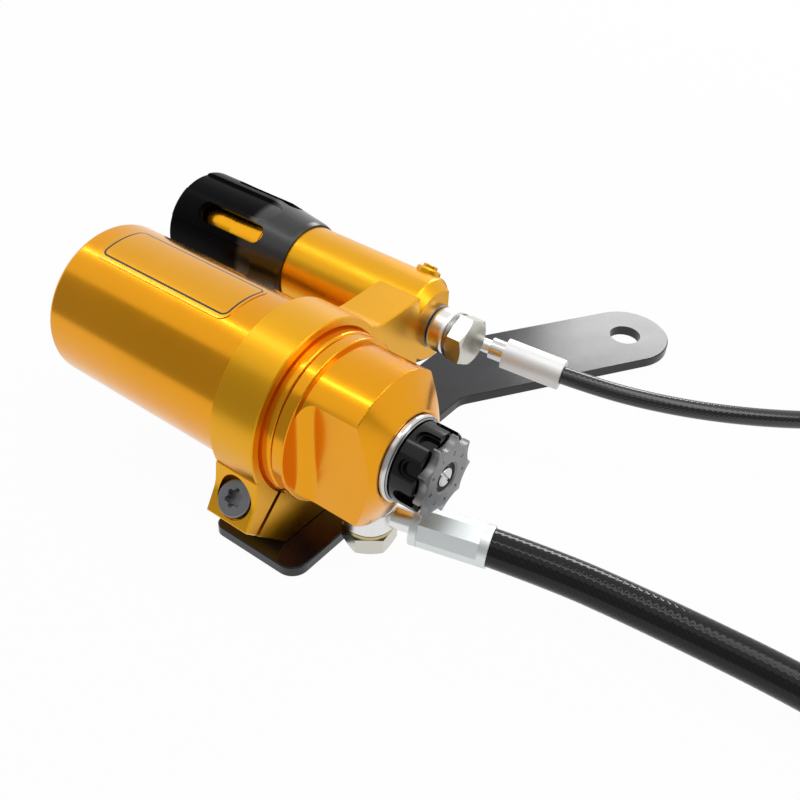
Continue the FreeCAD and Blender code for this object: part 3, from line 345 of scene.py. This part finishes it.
def braid_group():
    """The height of woven strands, from a UV map with length in U and turns in V."""
    g = bpy.data.node_groups.new("braid", "ShaderNodeTree")
    socket(g, "NodeSocketVector", "UV")
    socket(g, "NodeSocketFloat", "Strands", 16.0)
    socket(g, "NodeSocketFloat", "Pitch", 0.0019)
    socket(g, "NodeSocketFloat", "Height", incoming=False)
    inside = g.nodes.new("NodeGroupInput")
    outside = g.nodes.new("NodeGroupOutput")
    parts = g.nodes.new("ShaderNodeSeparateXYZ")
    g.links.new(inside.outputs["UV"], parts.inputs[0])
    around = math_node(g, "MULTIPLY", parts.outputs[1], inside.outputs["Strands"])
    along = math_node(g, "DIVIDE", parts.outputs[0], inside.outputs["Pitch"])
    ways = (math_node(g, "ADD", around, along), math_node(g, "SUBTRACT", around, along))
    rounds = []
    waves = []
    for way in ways:
        off = math_node(g, "MULTIPLY_ADD", math_node(g, "FRACT", way), 2.0, -1.0)
        rounds.append(math_node(g, "SUBTRACT", 1.0, math_node(g, "MULTIPLY", off, off)))
        waves.append(math_node(g, "SINE", math_node(g, "MULTIPLY", way, math.pi)))
    over = math_node(g, "GREATER_THAN", math_node(g, "MULTIPLY", *waves), 0.0)
    shapes = []
    for strand, crossing in (rounds, reversed(rounds)):
        arch = math_node(g, "MULTIPLY_ADD", crossing, 0.4, 0.6)
        shapes.append(math_node(g, "MULTIPLY", strand, arch))
    top = math_node(g, "MULTIPLY", shapes[0], over)
    low = math_node(g, "MULTIPLY", shapes[1], math_node(g, "SUBTRACT", 1.0, over))
    g.links.new(math_node(g, "ADD", top, low), outside.inputs["Height"])
    return g


GROUPS = {}


def group(tree, name, vector=None, **values):
    """Place a shared node group in a material, with its own values."""
    makers = {
        "fine_grain": fine_grain_group, "tone_shift": tone_shift_group, "turning_marks": turning_marks_group,
        "rim_line": rim_line_group, "braid": braid_group,
    }
    if name not in GROUPS:
        GROUPS[name] = makers[name]()
    n = tree.nodes.new("ShaderNodeGroup")
    n.node_tree = GROUPS[name]
    if vector is not None:
        tree.links.new(vector, n.inputs[0])
    for key, value in values.items():
        n.inputs[key.replace("_", " ")].default_value = value
    return n


def new_material(name):
    """A material with its Principled shader."""
    m = bpy.data.materials.new(name)
    m.use_nodes = True
    return m, m.node_tree, m.node_tree.nodes["Principled BSDF"]


def centred(tree, centre=(0, 0, 0)):
    """Object coordinates measured from a centre."""
    c = tree.nodes.new("ShaderNodeTexCoord")
    m = tree.nodes.new("ShaderNodeMapping")
    m.inputs["Location"].default_value = [-v for v in centre]
    tree.links.new(c.outputs["Object"], m.inputs["Vector"])
    return m.outputs["Vector"]


def bump(tree, bsdf, height, distance, strength=1.0, before=None):
    """A Bump node that feeds the shader's normal."""
    b = tree.nodes.new("ShaderNodeBump")
    b.inputs["Distance"].default_value = distance
    b.inputs["Strength"].default_value = strength
    tree.links.new(height, b.inputs["Height"])
    if before is not None:
        tree.links.new(before.outputs["Normal"], b.inputs["Normal"])
    tree.links.new(b.outputs["Normal"], bsdf.inputs["Normal"])
    return b


def shade(v, k):
    return tuple(min(1.0, c * k) for c in v[:3]) + (1.0,)


def yellower(v, k):
    """The same colour with more or less green in it."""
    return (v[0], v[1] * k, v[2])


def metal(name, colour, low, high, centre, metallic=1.0, turning=0.0, coat=0.0, grain=0.000002, spread=0.06,
          specular=0.5, coat_roughness=0.08):
    """A finish with two close tones, uneven gloss, and lathe lines where it is turned."""
    m, tree, bsdf = new_material(name)
    at = centred(tree, centre)
    tone = group(tree, "tone_shift", at, Tone=shade(colour, 1 - spread), Other_tone=shade(colour, 1 + spread),
                 Size=0.03)
    tree.links.new(tone.outputs["Color"], bsdf.inputs["Base Color"])
    g = group(tree, "fine_grain", at, Low=low, High=high)
    tree.links.new(g.outputs["Roughness"], bsdf.inputs["Roughness"])
    bsdf.inputs["Metallic"].default_value = metallic
    bsdf.inputs["Specular IOR Level"].default_value = specular
    bsdf.inputs["Coat Weight"].default_value = coat
    bsdf.inputs["Coat Roughness"].default_value = coat_roughness
    b = bump(tree, bsdf, g.outputs["Height"], grain)
    if turning:
        t = group(tree, "turning_marks", at, Pitch=0.00025)
        bump(tree, bsdf, t.outputs["Height"], turning, before=b)
    return m


def polish_taper(material, centre, start, end, weight):
    """A glossier coat on the part of a finish that lies past a place along X."""
    tree = material.node_tree
    parts = tree.nodes.new("ShaderNodeSeparateXYZ")
    tree.links.new(centred(tree, centre), parts.inputs[0])
    shader = tree.nodes["Principled BSDF"]
    tree.links.new(soft_step(tree, parts.outputs[0], start, end, 0.0, weight), shader.inputs["Coat Weight"])
    shader.inputs["Coat Roughness"].default_value = 0.3
    shader.inputs["Coat IOR"].default_value = 1.6


def paint_step_shade(material, centre, radius, width):
    """Painted shade: a fine dark line at one radius of a turned face, standing in for the shade of a groove,
    with the metal inside it painted darker as shade.
    """
    tree = material.node_tree
    parts = tree.nodes.new("ShaderNodeSeparateXYZ")
    tree.links.new(centred(tree, centre), parts.inputs[0])
    square = math_node(tree, "MULTIPLY", parts.outputs[1], parts.outputs[1])
    both = math_node(tree, "MULTIPLY_ADD", parts.outputs[2], parts.outputs[2], square)
    across = math_node(tree, "SQRT", both)
    # Painted shade: the colour falls to a dark line at the radius and to half inside it
    inside = soft_step(tree, across, radius - width, radius, 0.5, 0.05)
    outside = soft_step(tree, across, radius, radius + width, 0.05, 1.0)
    shader = tree.nodes["Principled BSDF"]
    painted_shade = tree.nodes.new("ShaderNodeMix")
    painted_shade.data_type = "RGBA"
    painted_shade.blend_type = "MULTIPLY"
    painted_shade.inputs["Factor"].default_value = 1.0
    tree.links.new(shader.inputs["Base Color"].links[0].from_socket, painted_shade.inputs[6])
    tree.links.new(math_node(tree, "MAXIMUM", inside, outside), painted_shade.inputs[7])
    tree.links.new(painted_shade.outputs[2], shader.inputs["Base Color"])


def label_finish(gold, dark):
    """The bare gold foil plate with its dark outline."""
    m, tree, bsdf = new_material("label_foil")
    at = centred(tree, RESERVOIR)
    tone = group(tree, "tone_shift", at, Tone=shade(gold, 0.96), Other_tone=shade(gold, 1.04), Size=0.02)
    line = group(tree, "rim_line", at, **LABEL_OUTLINE)
    mix = tree.nodes.new("ShaderNodeMix")
    mix.data_type = "RGBA"
    tree.links.new(line.outputs["Mask"], mix.inputs["Factor"])
    tree.links.new(tone.outputs["Color"], mix.inputs[6])
    mix.inputs[7].default_value = shade(dark, 1.0)
    tree.links.new(mix.outputs[2], bsdf.inputs["Base Color"])
    metallic = math_node(tree, "SUBTRACT", 0.9, math_node(tree, "MULTIPLY", line.outputs["Mask"], 0.9))
    tree.links.new(metallic, bsdf.inputs["Metallic"])
    g = group(tree, "fine_grain", at, Low=0.2, High=0.27)
    tree.links.new(g.outputs["Roughness"], bsdf.inputs["Roughness"])
    bump(tree, bsdf, g.outputs["Height"], 0.000001)
    bsdf.inputs["Coat Weight"].default_value = 0.25
    bsdf.inputs["Coat Roughness"].default_value = 0.05
    return m


def hose_finish(name, colour, strands, pitch, gloss):
    """A glossy black cover that shows the braid under it."""
    m, tree, bsdf = new_material(name)
    uv = tree.nodes.new("ShaderNodeUVMap")
    uv.uv_map = "length_and_turn"
    braid = group(tree, "braid", uv.outputs["UV"], Strands=float(strands), Pitch=pitch)
    at = centred(tree)
    tone = group(tree, "tone_shift", at, Tone=shade(colour, 0.7), Other_tone=shade(colour, 1.4), Size=0.006)
    tree.links.new(tone.outputs["Color"], bsdf.inputs["Base Color"])
    g = group(tree, "fine_grain", at, Low=0.04, High=0.08, Coarse_size=0.004)
    tree.links.new(g.outputs["Roughness"], bsdf.inputs["Roughness"])
    bump(tree, bsdf, braid.outputs["Height"], 0.00003)
    bsdf.inputs["Specular IOR Level"].default_value = gloss
    return m


def dress(names, material):
    """Give CAD nodes a finish."""
    for name in names:
        slots = nodes[name].material_slots
        if not slots:
            nodes[name].data.materials.append(material)
        for s in nodes[name].material_slots:
            s.material = material


class RESERVOIR_OT_gold(bpy.types.Operator):
    """Finish the gold anodised pieces"""

    bl_idname = "reservoir.gold"
    bl_label = "Gold pieces"

    def execute(self, context):
        s = settings()
        r = s.gold_roughness
        # Painted shade and light: the turned pieces' gold is painted a little more orange and the milled
        # pieces' a little yellower, the hue the gold shows in the darker light on the tube and the brighter
        # light on the clamp
        turned = metal("gold_turned", yellower(s.gold, 0.92), r - 0.03, r + 0.03, RESERVOIR,
                       turning=0.0000012, coat=0.2, coat_roughness=0.06)
        # Painted light: the guide's gold is painted brighter than the other gold pieces, to stand in for
        # light where it lies shaded behind the windows
        painted_light_guide = metal("gold_guide_painted_light", shade(s.gold, 1.15), r - 0.03, r + 0.03, BARREL,
                      turning=0.0000012, coat=0.2, coat_roughness=0.06)
        milled = metal("gold_milled", yellower(s.gold, 1.06), r + 0.08, r + 0.15, RESERVOIR,
                       grain=0.000003, coat=0.25, coat_roughness=0.22)
        dress(["reservoir_tube", "reservoir_head", "end_cap", "bleed_screw"], turned)
        dress(["preload_guide"], painted_light_guide)
        dress(["clamp_body"], milled)
        dress(["label_plate"], label_finish(s.gold, s.black))
        return {"FINISHED"}


class RESERVOIR_OT_black(bpy.types.Operator):
    """Finish the black knobs, the bracket plate and the dark screws"""

    bl_idname = "reservoir.black"
    bl_label = "Black pieces"

    def execute(self, context):
        s = settings()
        satin = metal("black_satin", s.black, 0.24, 0.32, BARREL, metallic=0.0, turning=0.000001,
                      specular=0.03)
        polish_taper(satin, BARREL, TAPER_START, TAPER_END, TAPER_COAT)
        dress(["preload_knob"], satin)
        dress(["high_speed_knob", "gas_valve_cap"], metal("black_gloss", s.black, 0.1, 0.16, RESERVOIR,
                                                          metallic=0.0, specular=0.3))
        dress(["bracket_plate"], metal("bracket_coat", s.bracket, 0.16, 0.22, (0, 0, 0), metallic=0.0,
                                       grain=0.000006))
        dress(["pinch_screw", "bracket_screws", "knob_screw", "end_cap_clip"],
              metal("dark_oxide", (0.25, 0.25, 0.26), 0.3, 0.42, RESERVOIR, metallic=0.9))
        rubber = metal("seal_rubber", (0.012, 0.012, 0.012), 0.5, 0.65, RESERVOIR, metallic=0.0)
        dress(["head_seal", "end_cap_seal", "floating_piston_seal", "preload_piston_seal"], rubber)
        dress(["floating_piston_band"], metal("band_plastic", (0.16, 0.075, 0.02), 0.4, 0.55, RESERVOIR,
                                              metallic=0.0))
        return {"FINISHED"}


class RESERVOIR_OT_bright(bpy.types.Operator):
    """Finish the steel, brass and plain aluminium pieces"""

    bl_idname = "reservoir.bright"
    bl_label = "Bright pieces"

    def execute(self, context):
        s = settings()
        polished = metal("polished_steel", (0.78, 0.78, 0.77), 0.26, 0.34, RESERVOIR)
        plated = metal("zinc_plate", (0.6, 0.59, 0.53), 0.2, 0.3, RESERVOIR)
        plain = metal("plain_aluminium", (0.79, 0.79, 0.78), 0.42, 0.55, BARREL, metallic=0.6, grain=0.000006)
        steel = metal("turned_steel", (0.6, 0.6, 0.59), 0.2, 0.3, RESERVOIR, turning=0.000001)
        bezel = metal("bezel_steel_painted_shade", (0.62, 0.62, 0.62), 0.16, 0.24, RESERVOIR, turning=0.000002)
        # Painted shade on the bezel: a dark line at one radius and a darker band inside it
        paint_step_shade(bezel, RESERVOIR, BEZEL_SHADE_RADIUS, BEZEL_SHADE_WIDTH)
        dress(["adjuster_bezel"], bezel)
        crimped = metal("crimped_zinc", (0.73, 0.77, 0.77), 0.4, 0.48, RESERVOIR)
        dress(["main_banjo", "main_far_banjo", "preload_banjo", "preload_far_banjo"], polished)
        dress(["main_ferrule", "main_far_ferrule"], crimped)
        dress(["main_banjo_bolt", "preload_banjo_bolt"], plated)
        dress(["preload_ferrule", "preload_far_ferrule", "floating_piston", "preload_piston"], plain)
        dress(["preload_sleeve", "adjuster_cartridge", "high_speed_ring", "shim_stack", "dial_screw",
               "knob_detent", "preload_spindle"], steel)
        dress(["main_banjo_washers"], metal("washer_yellow", (0.5, 0.42, 0.2), 0.25, 0.35, RESERVOIR))
        dress(["preload_banjo_washers"], metal("washer_grey", (0.38, 0.38, 0.38), 0.25, 0.35, BARREL))
        dress(["gas_valve", "low_speed_needle"], metal("brass", (0.6, 0.4, 0.12), 0.2, 0.3, RESERVOIR))
        dress(["low_speed_dial"], metal("dial_grey", s.dial, 0.3, 0.4, RESERVOIR, metallic=0.85,
                                        turning=0.000003))
        return {"FINISHED"}


def route_line(name, points):
    """The smooth line of a hose, as a NURBS spline with the route's points."""
    curve = bpy.data.curves.new(name + "_line", "CURVE")
    curve.dimensions = "3D"
    curve.resolution_u = 24
    spline = curve.splines.new("NURBS")
    spline.points.add(len(points) - 1)
    for p, co in zip(spline.points, points):
        p.co = (*co, 1.0)
    spline.order_u = 3
    spline.use_endpoint_u = True
    obj = bpy.data.objects.new(name + "_line", curve)
    bpy.context.scene.collection.objects.link(obj)
    bpy.context.view_layer.update()
    mesh = bpy.data.meshes.new_from_object(obj.evaluated_get(bpy.context.evaluated_depsgraph_get()))
    line = [v.co.copy() for v in mesh.vertices]
    bpy.data.meshes.remove(mesh)
    bpy.data.objects.remove(obj)
    bpy.data.curves.remove(curve)
    return line


def even_points(line, step):
    """The same line with points a fixed distance apart."""
    length = sum((b - a).length for a, b in zip(line, line[1:]))
    count = max(2, round(length / step))
    spacing = length / count
    made = [line[0].copy()]
    want = spacing
    gone = 0.0
    for a, b in zip(line, line[1:]):
        run = (b - a).length
        while run > 0 and want <= gone + run + 1e-12 and len(made) < count:
            made.append(a.lerp(b, (want - gone) / run))
            want += spacing
        gone += run
    made.append(line[-1].copy())
    return made, length


def tube_mesh(name, points, radius, sides):
    """A tube along points, with its length and its turn in a UV map."""
    bm = bmesh.new()
    uv = bm.loops.layers.uv.new("length_and_turn")
    tangent = (points[1] - points[0]).normalized()
    side = (Vector((0, 0, 1)) - tangent * tangent.z).normalized()
    rings = []
    for i, p in enumerate(points):
        ahead = points[min(i + 1, len(points) - 1)]
        behind = points[max(i - 1, 0)]
        tangent = (ahead - behind).normalized()
        side = (side - tangent * side.dot(tangent)).normalized()
        other = tangent.cross(side)
        ring = []
        for k in range(sides):
            a = 2 * math.pi * k / sides
            ring.append(bm.verts.new(p + (side * math.cos(a) + other * math.sin(a)) * radius))
        rings.append(ring)
    gone = 0.0
    for i in range(len(rings) - 1):
        step = (points[i + 1] - points[i]).length
        for k in range(sides):
            n = (k + 1) % sides
            f = bm.faces.new((rings[i][k], rings[i][n], rings[i + 1][n], rings[i + 1][k]))
            f.smooth = True
            where = ((gone, k), (gone, k + 1), (gone + step, k + 1), (gone + step, k))
            for loop, (u, v) in zip(f.loops, where):
                loop[uv].uv = (u, v / sides)
        gone += step
    bm.faces.new(list(reversed(rings[0])))
    bm.faces.new(rings[-1])
    bmesh.ops.recalc_face_normals(bm, faces=bm.faces)
    mesh = bpy.data.meshes.new(name)
    bm.to_mesh(mesh)
    bm.free()
    obj = bpy.data.objects.new(name, mesh)
    bpy.context.scene.collection.objects.link(obj)
    return obj


def lay_hose(name, route, diameter, material, node):
    """One hose: its line, its tube and its finish."""
    line = route_line(name, route)
    points, length = even_points(line, HOSE_STEP)
    tube = tube_mesh(name, points, diameter / 2, HOSE_SIDES)
    tube.data.materials.append(material)
    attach(tube, "unit")
    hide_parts(node)
    [tuple(p) for p in points]


class RESERVOIR_OT_hoses(bpy.types.Operator):
    """Lay the two braided hoses along their routes"""

    bl_idname = "reservoir.hoses"
    bl_label = "Hoses"

    def execute(self, context):
        h = context.scene.reservoir_hose
        s = settings()
        main = hose_finish("main_hose_cover", s.hose, h.main_strands, h.braid_pitch, 0.32)
        thin = hose_finish("preload_hose_cover", s.hose, h.preload_strands, h.braid_pitch * THIN_BRAID, 0.7)
        lay_hose("braided_main_hose", MAIN_ROUTE, h.main_diameter, main, "main_hose")
        lay_hose("braided_preload_hose", PRELOAD_ROUTE, h.preload_diameter, thin, "preload_hose")
        return {"FINISHED"}


def dial_number(text, degrees, height, reach, face_x):
    """One thin number on the dial's face, with its top towards the rim."""
    bpy.ops.object.text_add(location=(0, 0, 0))
    obj = bpy.context.active_object
    obj.data.body = text
    obj.data.size = height
    obj.data.align_x = "CENTER"
    obj.data.align_y = "CENTER"
    obj.data.extrude = NUMBER_DEPTH / 2
    bpy.ops.object.convert(target="MESH")
    obj = bpy.context.active_object
    a = math.radians(degrees)
    outward = Vector((0, math.cos(a), math.sin(a)))
    facing = Vector((1, 0, 0))
    turn = Matrix((outward.cross(facing), outward, facing)).transposed()
    place = Vector((face_x, RESERVOIR.y, RESERVOIR.z)) + outward * reach
    obj.matrix_world = Matrix.Translation(place) @ turn.to_4x4()
    settle(obj)
    return obj


class RESERVOIR_OT_numbers(bpy.types.Operator):
    """Put the plain numbers on the grey dial"""

    bl_idname = "reservoir.numbers"
    bl_label = "Dial numbers"

    def execute(self, context):
        d = context.scene.reservoir_dial
        face_x = max(v.co.x for v in nodes["low_speed_dial"].data.vertices)
        made = []
        for i in range(d.numbers):
            angle = d.first_degrees - 360 / d.numbers * i
            made.append(dial_number(str(i + 1), angle, d.height, d.reach, face_x))
        pick_none()
        for obj in made:
            obj.select_set(True)
        context.view_layer.objects.active = made[0]
        bpy.ops.object.join()
        numbers = context.active_object
        numbers.name = "dial_numbers"
        numbers.data.name = "dial_numbers"
        numbers.data.materials.clear()
        paint = metal("number_black", (0.012, 0.012, 0.013), 0.4, 0.5, RESERVOIR, metallic=0.0)
        numbers.data.materials.append(paint)
        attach(numbers, "low_speed_turner")
        return {"FINISHED"}


def floor_finish():
    """A white floor, which metal and glass show too, and which keeps a soft shadow."""
    m, tree, bsdf = new_material("white_floor")
    bsdf.inputs["Base Color"].default_value = (0.86, 0.86, 0.86, 1)
    bsdf.inputs["Roughness"].default_value = 0.8
    glow = tree.nodes.new("ShaderNodeEmission")
    glow.inputs["Color"].default_value = (1, 1, 1, 1)
    mix = tree.nodes.new("ShaderNodeMixShader")
    tree.links.new(math_node(tree, "MULTIPLY", background_rays(tree), FLOOR_GLOW), mix.inputs[0])
    tree.links.new(bsdf.outputs[0], mix.inputs[1])
    tree.links.new(glow.outputs[0], mix.inputs[2])
    tree.links.new(mix.outputs[0], tree.nodes["Material Output"].inputs["Surface"])
    return m


def background_rays(tree):
    """1 for rays that show the white background: the camera's, and those mirrored or let through."""
    rays = tree.nodes.new("ShaderNodeLightPath")
    mirrored = math_node(tree, "MAXIMUM", rays.outputs["Is Camera Ray"], rays.outputs["Is Glossy Ray"])
    return math_node(tree, "MAXIMUM", mirrored, rays.outputs["Is Transmission Ray"])


def grey_card(name, place, turn, width, height, tone):
    """A grey card of the stage, which only mirrored rays see."""
    bpy.ops.mesh.primitive_plane_add(size=1.0, location=place, rotation=[math.radians(v) for v in turn])
    card = bpy.context.active_object
    card.name = name
    card.scale = (width, height, 1.0)
    settle(card)
    m, tree, bsdf = new_material(name + "_grey")
    bsdf.inputs["Base Color"].default_value = (0, 0, 0, 1)
    bsdf.inputs["Specular IOR Level"].default_value = 0.0
    bsdf.inputs["Emission Color"].default_value = (tone, tone, tone, 1)
    bsdf.inputs["Emission Strength"].default_value = 1.0
    card.data.materials.append(m)
    card.visible_camera = False
    card.visible_diffuse = False
    card.visible_transmission = False
    card.visible_shadow = False


def panel_light(name, place, target, width, height, power):
    """A soft rectangular lamp that looks at a point."""
    lamp = bpy.data.lights.new(name, "AREA")
    lamp.shape = "RECTANGLE"
    lamp.size = width
    lamp.size_y = height
    lamp.energy = power
    obj = bpy.data.objects.new(name, lamp)
    bpy.context.scene.collection.objects.link(obj)
    obj.location = place
    obj.rotation_euler = (Vector(target) - Vector(place)).to_track_quat("-Z", "Y").to_euler()


def room_world():
    """A plain white room, with a softer glow on what isn't mirrored."""
    world = bpy.data.worlds.new("white_room")
    bpy.context.scene.world = world
    world.use_nodes = True
    tree = world.node_tree
    back = tree.nodes["Background"]
    back.inputs["Color"].default_value = (1, 1, 1, 1)
    tree.links.new(math_node(tree, "MAXIMUM", background_rays(tree), FILL_GLOW), back.inputs["Strength"])


class RESERVOIR_OT_stage(bpy.types.Operator):
    """Set the floor, the lamps and the camera"""

    bl_idname = "reservoir.stage"
    bl_label = "Stage"

    def execute(self, context):
        scene = context.scene
        scene.view_settings.view_transform = "Standard"
        pick_none()
        bpy.ops.mesh.primitive_plane_add(size=4.0, location=(0.05, -0.05, -FLOOR_DROP))
        floor = context.active_object
        floor.name = "floor"
        settle(floor)
        floor.data.materials.append(floor_finish())
        room_world()
        grey_card("front_card", (-0.075, -0.36, 0.16), (90, 0, 0), 0.75, 0.32, 0.42)
        grey_card("side_card", (0.5, -0.32, 0.3), (90, 0, 90), 0.6, 0.5, 0.35)
        pick_none()
        panel_light("rear_strip", (-0.85, -0.12, 0.75), (-0.85, -0.12, 0.0), 0.7, 0.035, 0.5)
        panel_light("front_strip", (0.2, -0.20, 0.75), (0.2, -0.20, 0.0), 1.4, 0.045, 1.15)
        panel_light("overhead_box", (0.45, 0.1, 0.85), (0.45, 0.1, 0.0), 0.8, 0.4, 2.2)
        panel_light("arm_panel", (-0.214, 0.659, 0.400), (0.0, 0.0, 0.0), 0.26, 0.24, 1.65)
        cam = bpy.data.cameras.new("camera")
        cam.sensor_width = SENSOR_WIDTH
        cam.lens = FOCAL_PIXELS * SENSOR_WIDTH / FRAME_PIXELS
        cam.clip_start = 0.005
        cam.clip_end = 20.0
        obj = bpy.data.objects.new("camera", cam)
        scene.collection.objects.link(obj)
        obj.matrix_world = camera_place()
        scene.camera = obj
        return {"FINISHED"}


def camera_place():
    """The camera's place, from its two angles, its roll and its distance."""
    az = math.radians(CAMERA_AZIMUTH)
    el = math.radians(CAMERA_ELEVATION)
    roll = math.radians(CAMERA_ROLL)
    ahead = Vector((-math.sin(az) * math.cos(el), math.cos(az) * math.cos(el), -math.sin(el)))
    level = Vector((math.cos(az), math.sin(az), 0.0))
    upward = level.cross(ahead)
    right = level * math.cos(roll) + upward * math.sin(roll)
    up = upward * math.cos(roll) - level * math.sin(roll)
    place = -(right * CAMERA_RIGHT + up * CAMERA_UP + ahead * CAMERA_AWAY) * MM + RESERVOIR
    turn = Matrix((right, up, -ahead)).transposed()
    return Matrix.Translation(place) @ turn.to_4x4()


class RESERVOIR_PT_sidebar(bpy.types.Panel):
    """Lists the sizes, colours and steps"""

    bl_label = "Reservoir"
    bl_idname = "RESERVOIR_PT_sidebar"
    bl_space_type = "VIEW_3D"
    bl_region_type = "UI"
    bl_category = "Reservoir"

    def draw(self, context):
        layout = self.layout
        for group_name in ("reservoir_finish", "reservoir_hose", "reservoir_dial"):
            values = getattr(context.scene, group_name)
            box = layout.box()
            for key in values.__annotations__:
                box.prop(values, key)
        for step in STEPS:
            layout.operator(step.bl_idname)


STEPS = (
    RESERVOIR_OT_stage,
    RESERVOIR_OT_hoses,
    RESERVOIR_OT_gold,
    RESERVOIR_OT_black,
    RESERVOIR_OT_bright,
    RESERVOIR_OT_numbers,
)
CLASSES = (FinishSettings, HoseSettings, DialSettings, *STEPS, RESERVOIR_PT_sidebar)


def register():
    for c in CLASSES:
        bpy.utils.register_class(c)
    bpy.types.Scene.reservoir_finish = PointerProperty(type=FinishSettings)
    bpy.types.Scene.reservoir_hose = PointerProperty(type=HoseSettings)
    bpy.types.Scene.reservoir_dial = PointerProperty(type=DialSettings)


def unregister():
    del bpy.types.Scene.reservoir_dial
    del bpy.types.Scene.reservoir_hose
    del bpy.types.Scene.reservoir_finish
    for c in reversed(CLASSES):
        bpy.utils.unregister_class(c)


def main():
    register()
    bpy.ops.reservoir.stage()
    bpy.ops.reservoir.hoses()
    bpy.ops.reservoir.gold()
    bpy.ops.reservoir.black()
    bpy.ops.reservoir.bright()
    bpy.ops.reservoir.numbers()
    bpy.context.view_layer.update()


if __name__ == "__main__":
    main()
